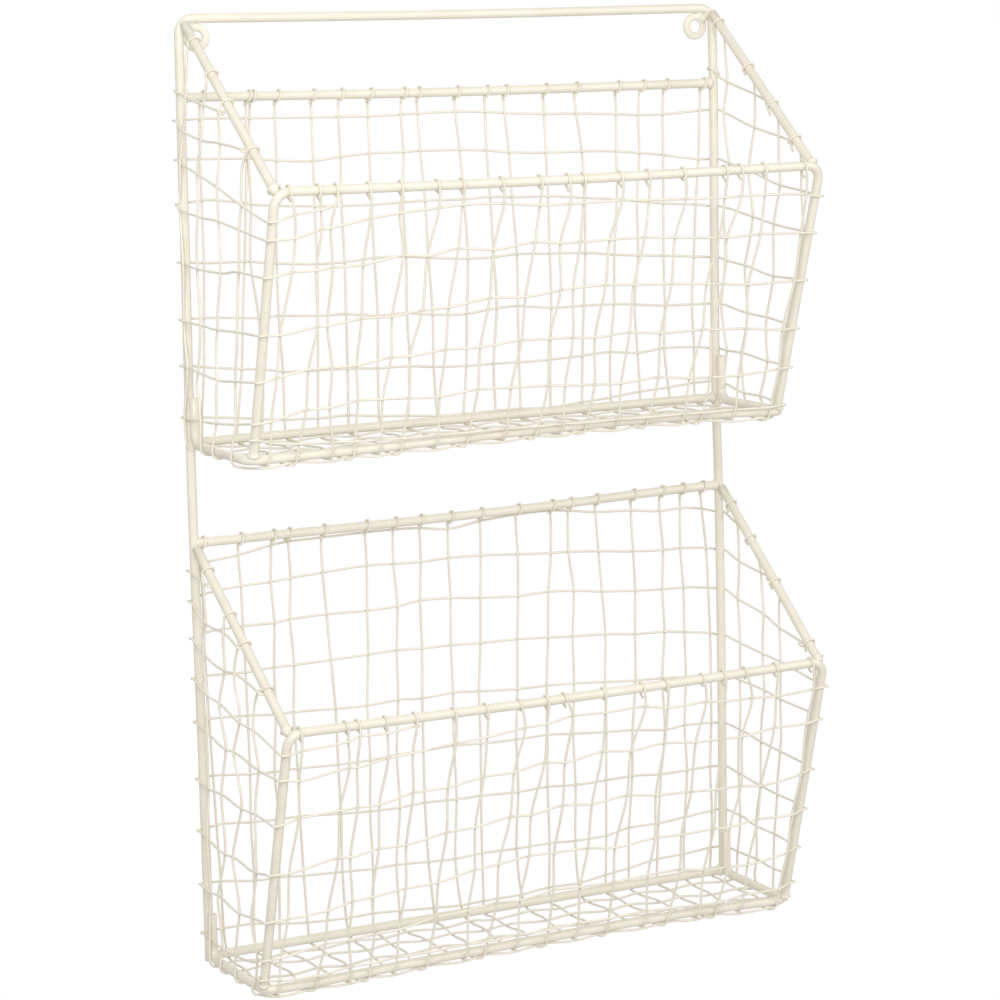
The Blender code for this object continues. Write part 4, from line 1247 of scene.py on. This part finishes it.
def long_wire(basket, number):
    """Over the back rail, down the back, under the floor, up the front, over its rail."""
    _, back_run = basket.wires["back"][number]
    _, front_run = basket.wires["front"][number]
    back_x = back_run(TOP_Z - basket.back_z)
    front_x = front_run(TOP_Z - basket.front_z)
    swing = math.sin(number * SWING_STEP + SWING_STARTS[basket.name])

    curl = CURL_DEGREES + CURL_SWING_DEGREES * swing
    points = round_rail(
        basket.back_rail, back_x, curl, BACK_HOOK_END_DEGREES, 1, BACK_HOOK_CREEP
    )
    x, y, z = BACK_TAIL
    points.insert(0, points[0] + Vector((x, y, z - BACK_TAIL_SWING * swing)))
    points += basket.run_down("back", number)

    low_back = back_run(TOP_Z - basket.floor_z)
    low_front = front_run(TOP_Z - basket.floor_z)
    points += [
        basket.under(low_back, 0, 0) + Vector((0, math.cos(a), -math.sin(a))) * WRAP_RADIUS
        for a in BACK_EDGE_TURNS
    ]
    points += floor_run(basket, number, low_back, low_front)
    bar = basket.under(low_front, basket.floor_depth, 0)
    turns = FRONT_EDGE_TURNS
    if number % 2:
        low = -(WRAP_RADIUS + HANG)
        points += [
            bar + Vector((-2.0 * HANG_LEAN, 2.2 * HANG, -WRAP_RADIUS - 0.3 * HANG)),
            bar + Vector((-HANG_LEAN, 0.3 * HANG, low)),
            bar + Vector((-0.5 * HANG_LEAN, -0.4 * HANG, low + 0.05 * HANG)),
        ]
        turns = HANGING_EDGE_TURNS
    points += [
        bar + Vector((0, -math.sin(turn), -math.cos(turn))) * WRAP_RADIUS for turn in turns
    ]
    points += reversed(basket.run_down("front", number))
    start = math.degrees(-basket.lean) + FRONT_HOOK_START_DEGREES
    stop = FRONT_HOOK_END_DEGREES + FRONT_HOOK_SWING_DEGREES * swing
    points += round_rail(basket.front_rail, front_x, start, stop, -1, FRONT_HOOK_CREEP)
    end = points[-1]
    x, y, z = FRONT_TAIL_END
    points.append(end + Vector(FRONT_TAIL_BEND))
    points.append(end + Vector((x, y, z - FRONT_TAIL_SWING * swing)))
    return wire(points)


def floor_run(basket, number, low_back, low_front):
    """A long wire's control points under the floor, woven with the side wires."""
    points = []
    last = len(basket.floor_wires) - 1
    side = 1 if number % 2 == 0 else -1
    basket.floor_crossings.append((last, low_front, basket.floor_depth, side))
    for other in range(last):
        share = 0.5
        for _ in range(FLOOR_ROUNDS):
            x = low_back + (low_front - low_back) * share
            depth = basket.floor_wires[other](x)
            share = depth / basket.floor_depth
        side = 1 if (number + other) % 2 else -1
        points.append(basket.under(x, depth, WRAP_RADIUS - side * WIRE_WEAVE))
        basket.floor_crossings.append((other, x, depth, side))
    return points


# Side and ring wires

def side_wire(basket, other):
    """Over the left diagonal, down the left, across the floor, up the right."""
    last = len(basket.floor_wires) - 1
    bottom = WRAP_RADIUS + (HANG if other == last else WIRE_RADIUS)
    lift = WIRE_RADIUS if other == last else 0
    halves = []
    for wall, sign in SIGNS.items():
        levels, run = basket.wires[wall][other]
        centre = basket.diagonal(wall, run(levels[0]))
        out = Vector((sign, 0, 0))
        up = Vector((0, -basket.slope(wall), 1)).normalized()
        points = []
        for n in range(SIDE_HOOK_STEPS + 1):
            angle = math.radians(SIDE_HOOK_END_DEGREES * (1 - n / SIDE_HOOK_STEPS))
            points.append(centre + (out * math.cos(angle) + up * math.sin(angle)) * WRAP_RADIUS)
        tail = SIDE_TAILS[basket.name][wall][other]
        points.insert(0, points[0] + Vector((SIDE_TAIL_LEANS[wall], 0, -tail)))
        points += basket.run_down(wall, other)
        depth = run(TOP_Z - basket.floor_z)
        edge = basket.under(sign * basket.side_x(depth), depth, 0)
        reach = sign * (WRAP_RADIUS + WIRE_RADIUS)
        points += [
            edge + Vector((reach * math.cos(a), 0, -math.sin(a) * bottom))
            for a in SIDE_EDGE_TURNS
        ]
        halves.append(points)
    found = [(x, depth, side) for o, x, depth, side in basket.floor_crossings if o == other]
    floor = [
        basket.under(x, depth, WRAP_RADIUS + lift + side * RING_WEAVE)
        for x, depth, side in sorted(found)
    ]
    return wire(halves[0] + floor + list(reversed(halves[1])))


def end_drop(basket, wall, number, other_wall):
    """A line's drop at its corner with another wall."""
    reach, line = basket.lines[wall][number]
    first = "left" if wall in ("front", "back") else "back"
    return line(reach[0] if other_wall == first else reach[-1])


def corner(basket, first, second, drop):
    """Control points round a post or an upright, from one wall to the next."""
    side = "left" if "left" in (first, second) else "right"
    z = TOP_Z - drop
    centre = Vector((upright_x(side, z), ROD_Y, z))
    if "front" in (first, second):
        centre = basket.post(side, z)
    halfway = (NORMALS[first] + NORMALS[second]).normalized()
    return [
        centre + NORMALS[first] * WRAP_RADIUS,
        centre + halfway * CORNER_REACH,
        centre + NORMALS[second] * WRAP_RADIUS,
    ]


def ring_path(basket, spans):
    """A ring wire's control points over spans of (wall, line number)."""
    points = []
    for n, (wall, number) in enumerate(spans):
        if n:
            before, number_before = spans[n - 1]
            drop = (
                end_drop(basket, before, number_before, wall)
                + end_drop(basket, wall, number, before)
            ) / 2
            points += corner(basket, before, wall, drop)
        run = basket.run_along(wall, number)
        if wall in ("front", "left"):
            run.reverse()
        points += run
    return points


def eye(basket, wall, number):
    """The closed loop that ends a line of a side wall, round the side wire there."""
    reach, line = basket.lines[wall][number]
    depth, drop = reach[-1], line(reach[-1])
    centre = basket.place(wall, depth, drop, WRAP_RADIUS - WIRE_WEAVE)
    aside = Vector(EYE_LEAN)
    return [
        centre
        + (NORMALS[wall] * math.cos(turn) + aside * math.sin(turn)) * EYE_RADIUS
        for turn in np.radians(EYE_DEGREES)
    ]


def open_ring(basket, number):
    """A ring wire from an eye on the left, round the back, to an eye on the right."""
    line = number + STUB_LINES[basket.name]
    spans = [("left", line), ("back", number), ("right", line)]
    points = list(reversed(eye(basket, "left", line)))
    points += ring_path(basket, spans)
    points += eye(basket, "right", line)
    return wire(points)


def winding_ring(basket):
    """The ring wire that winds down round a basket from a loose end on its front."""
    turns = len(basket.lines["front"]) - 1
    spans = [("front", 0)]
    for turn in range(turns):
        number = OPEN_RINGS[basket.name] + turn
        line = number + STUB_LINES[basket.name]
        spans += [("left", line), ("back", number), ("right", line), ("front", turn + 1)]
    reach, line = basket.lines["front"][0]
    points = [basket.place("front", reach[-1], line(reach[-1]), WRAP_RADIUS + RING_WEAVE)]
    points += ring_path(basket, spans)
    points += corner(basket, "front", "left", end_drop(basket, "front", turns, "left"))
    points.append(points[-1] + Vector(RING_TAIL))
    return wire(points)


def stub(basket, wall, sign):
    """A short wire hooked round an upright, that ends in an eye on a side wire."""
    _, line = basket.lines[wall][0]
    z = TOP_Z - line(0)
    upright = Vector((upright_x(wall, z), ROD_Y, z))
    points = [
        upright
        + Vector((sign * math.cos(math.radians(turn)), math.sin(math.radians(turn)), 0))
        * WRAP_RADIUS
        + Vector((0, 0, rise))
        for turn, rise in STUB_TURNS[wall]
    ]
    points += basket.run_along(wall, 0)
    points += eye(basket, wall, 0)
    return wire(points)


def build_wires(basket):
    """The long wires, a piece each, and the net of side and ring wires."""
    for number in range(len(basket.wires["back"])):
        node = f"{basket.name}_long_wire_{number + 1:02d}"
        add_piece(node, [long_wire(basket, number)])
    shapes = [side_wire(basket, other) for other in range(len(basket.wires["left"]))]
    shapes.append(winding_ring(basket))
    shapes += [open_ring(basket, number) for number in range(OPEN_RINGS[basket.name])]
    if STUB_LINES[basket.name]:
        shapes += [stub(basket, side, sign) for side, sign in SIGNS.items()]
    add_piece(basket.name + "_ring_net", shapes)


# Rods

def build_back_frame():
    """The top bar and the uprights, one bent rod."""
    foot_z = frame_low.z + ROD_RADIUS * 0.3
    corners = [
        Vector((-HALF_WIDTH, ROD_Y, foot_z)),
        Vector((-HALF_WIDTH, ROD_Y, TOP_Z)),
        Vector((HALF_WIDTH, ROD_Y, TOP_Z)),
        Vector((HALF_WIDTH, ROD_Y, foot_z)),
    ]
    points = []
    for p in divided(rounded(corners, TOP_CORNER_RADIUS)):
        side = "left" if p.x < 0 else "right"
        aside = upright_stray(side, p.z) * (abs(p.x) / HALF_WIDTH)
        sag = 0
        if p.z > TOP_Z - TOP_CORNER_RADIUS:
            sag = stray(TOP_BAR_RISE_SHARES, across_share(p.x))
        points.append(p + Vector((aside, 0, sag)))
    add_piece("back_frame", [rod(points)])


def build_rods(basket):
    """A basket's rails, floor ring, front hoop and diagonals."""
    name = basket.name
    left, right = (upright_x(side, basket.back_z) for side in SIGNS)
    rail = [basket.back_rail(x) for x in np.linspace(left, right, RAIL_POINTS)]
    add_piece(name + "_back_rail", [welded_rod(rail)])
    left, right = (upright_x(side, basket.floor_z) for side in SIGNS)
    rail = [basket.under(x, 0, 0) for x in np.linspace(left, right, FLOOR_RAIL_POINTS)]
    add_piece(name + "_floor_back_rail", [welded_rod(rail)])

    tab_y = ROD_Y - 2 * ROD_RADIUS
    ring_x = basket.side_x(basket.floor_depth)
    front_y = ROD_Y - basket.floor_depth
    ring = [
        Vector((-HALF_WIDTH, tab_y, basket.floor_z + TAB_RISE)),
        Vector((-HALF_WIDTH, tab_y, basket.floor_z)),
        Vector((-ring_x, front_y, basket.floor_z)),
        Vector((ring_x, front_y, basket.floor_z)),
        Vector((HALF_WIDTH, tab_y, basket.floor_z)),
        Vector((HALF_WIDTH, tab_y, basket.floor_z + TAB_RISE)),
    ]
    points = []
    for p in divided(rounded(ring, FLOOR_BEND_RADIUS)):
        share = (tab_y - p.y) / (tab_y - front_y)
        points.append(p + Vector((0, 0, basket.rise("floor", p.x) * share)))
    add_piece(name + "_floor_ring", [rod(points)])

    hoop = [
        basket.post("left", basket.floor_z), basket.post("left", basket.front_z),
        basket.post("right", basket.front_z), basket.post("right", basket.floor_z),
    ]
    points = []
    for p in divided(rounded(hoop, HOOP_CORNER_RADIUS)):
        share = (p.z - basket.floor_z) / (basket.front_z - basket.floor_z)
        rise = basket.rise("front", p.x) * share + basket.rise("floor", p.x) * (1 - share)
        points.append(p + Vector((0, 0, rise)))
    add_piece(name + "_front_hoop", [welded_rod(points)])

    depths = np.linspace(DIAGONAL_START, basket.front_depth - ROD_RADIUS, DIAGONAL_POINTS)
    for side in SIGNS:
        points = [basket.diagonal(side, depth) for depth in depths]
        add_piece(f"{name}_diagonal_{side}", [welded_rod(points, (False, True))])


def build_eyelets():
    """Rings with rounded rims, each with a web of weld to the frame's bend."""
    for side, sign in SIGNS.items():
        low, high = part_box("hang_eyelet_" + side)
        centre = (low + high) / 2 + Vector(EYELET_SHIFT)
        outer = (high.x - low.x) / 2 + EYELET_SPREAD
        half = (high.y - low.y) / 2
        inner = EYELET_HOLE_RADIUS
        bead = half * EYELET_BEAD_SHARE
        across = (outer - inner) / 2 - bead
        profile = []
        for n in range(EYELET_SIDES):
            turn = 2 * math.pi * n / EYELET_SIDES
            c, s = math.cos(turn), math.sin(turn)
            flat = math.copysign(across, c) * (abs(c) > EYELET_RIDGE_SHARE)
            profile.append(((outer + inner) / 2 + flat + bead * c, half * s))
        verts, faces = [], []
        for step in range(EYELET_STEPS):
            a = 2 * math.pi * step / EYELET_STEPS
            for r, y in profile:
                verts.append(centre + Vector((r * math.cos(a), y, r * math.sin(a))))
        for step in range(EYELET_STEPS):
            here, ahead = step * EYELET_SIDES, (step + 1) % EYELET_STEPS * EYELET_SIDES
            for n in range(EYELET_SIDES):
                m = (n + 1) % EYELET_SIDES
                faces.append((here + n, here + m, ahead + m, ahead + n))
        bend = Vector((sign * HALF_WIDTH, ROD_Y, TOP_Z))
        bend -= Vector((sign, 0, 1)) * TOP_CORNER_RADIUS / 4
        rim = centre + (bend - centre).normalized() * (outer + inner) / 2
        steps = range(EYELET_WEB_STEPS + 1)
        web = [rim.lerp(bend, n / EYELET_WEB_STEPS) for n in steps]
        widths = [1 + EYELET_WEB_SPREAD * (2 * n / EYELET_WEB_STEPS - 1) ** 2 for n in steps]
        weld = tube(web, EYELET_WEB_RADIUS, ROD_SIDES, shares=widths)
        add_piece("hang_eyelet_" + side, [(verts, faces), weld])


# Lights, floor and camera

def add_area(name, place, size, power, aim):
    """A round lamp that shines at a place."""
    data = bpy.data.lights.new(name, "AREA")
    data.shape = "DISK"
    data.size = size
    data.energy = power
    lamp = bpy.data.objects.new(name, data)
    lamp.location = place
    lamp.rotation_mode = "QUATERNION"
    lamp.rotation_quaternion = (Vector(aim) - Vector(place)).to_track_quat("-Z", "Y")
    bpy.context.scene.collection.objects.link(lamp)


def build_world():
    """Soft light from all round, behind which the camera sees plain white."""
    world = bpy.data.worlds.new("studio")
    bpy.context.scene.world = world
    world.use_nodes = True
    nodes, links = world.node_tree.nodes, world.node_tree.links
    dome = nodes["Background"]
    dome.inputs["Color"].default_value = WORLD_COLOUR
    dome.inputs["Strength"].default_value = WORLD_STRENGTH
    white = nodes.new("ShaderNodeBackground")
    white.inputs["Color"].default_value = WHITE
    white.inputs["Strength"].default_value = WHITE_STRENGTH
    ray = nodes.new("ShaderNodeLightPath")
    seen = nodes.new("ShaderNodeMath")
    seen.operation = "MAXIMUM"
    links.new(ray.outputs["Is Camera Ray"], seen.inputs[0])
    links.new(ray.outputs["Is Transmission Ray"], seen.inputs[1])
    mix = nodes.new("ShaderNodeMixShader")
    links.new(seen.outputs[0], mix.inputs["Fac"])
    links.new(dome.outputs["Background"], mix.inputs[1])
    links.new(white.outputs["Background"], mix.inputs[2])
    links.new(mix.outputs["Shader"], nodes["World Output"].inputs["Surface"])


def build_floor():
    """A pale round floor below the rack."""
    mesh = bpy.data.meshes.new("floor")
    turns = [2 * math.pi * n / FLOOR_SIDES for n in range(FLOOR_SIDES)]
    rim = [(FLOOR_RADIUS * math.cos(a), FLOOR_RADIUS * math.sin(a), 0) for a in turns]
    mesh.from_pydata(rim, [], [tuple(range(FLOOR_SIDES))])
    pale = bpy.data.materials.new("pale_floor")
    pale.use_nodes = True
    shader = pale.node_tree.nodes["Principled BSDF"]
    shader.inputs["Base Color"].default_value = FLOOR_COLOUR
    shader.inputs["Roughness"].default_value = FLOOR_ROUGHNESS
    mesh.materials.append(pale)
    floor = bpy.data.objects.new("floor", mesh)
    floor.location = (0, cad_low.y - FLOOR_RADIUS * 0.2, cad_low.z - FLOOR_BELOW)
    bpy.context.scene.collection.objects.link(floor)


def build_camera():
    """The camera where the photograph was taken from."""
    yaw, pitch, roll = (
        math.radians(a) for a in (CAMERA_YAW, CAMERA_PITCH, CAMERA_ROLL)
    )
    ahead = Vector((
        math.sin(yaw) * math.cos(pitch), math.cos(yaw) * math.cos(pitch), math.sin(pitch)
    ))
    level = Vector((math.cos(yaw), -math.sin(yaw), 0))
    upward = level.cross(ahead)
    right = level * math.cos(roll) + upward * math.sin(roll)
    up = upward * math.cos(roll) - level * math.sin(roll)
    data = bpy.data.cameras.new("camera")
    data.lens = CAMERA_LENS
    data.sensor_width = CAMERA_SENSOR
    data.clip_start = CAMERA_NEAR
    data.clip_end = CAMERA_FAR
    camera = bpy.data.objects.new("camera", data)
    turn = Matrix((right, up, -ahead)).transposed().to_4x4()
    camera.matrix_world = Matrix.Translation(CAMERA_PLACE) @ turn
    bpy.context.scene.collection.objects.link(camera)
    bpy.context.scene.camera = camera


# The rack

def main():
    """Build the rack, its light, its floor and the camera."""
    build_back_frame()
    build_eyelets()
    for name in TABLES:
        basket = Basket(name)
        build_rods(basket)
        build_wires(basket)
    centre = (cad_low + cad_high) / 2
    for name, offset, size, power in LAMPS:
        add_area(name, centre + Vector(offset), size, power, centre)
    build_world()
    build_floor()
    build_camera()
    bpy.context.scene.view_settings.view_transform = "Standard"


main()
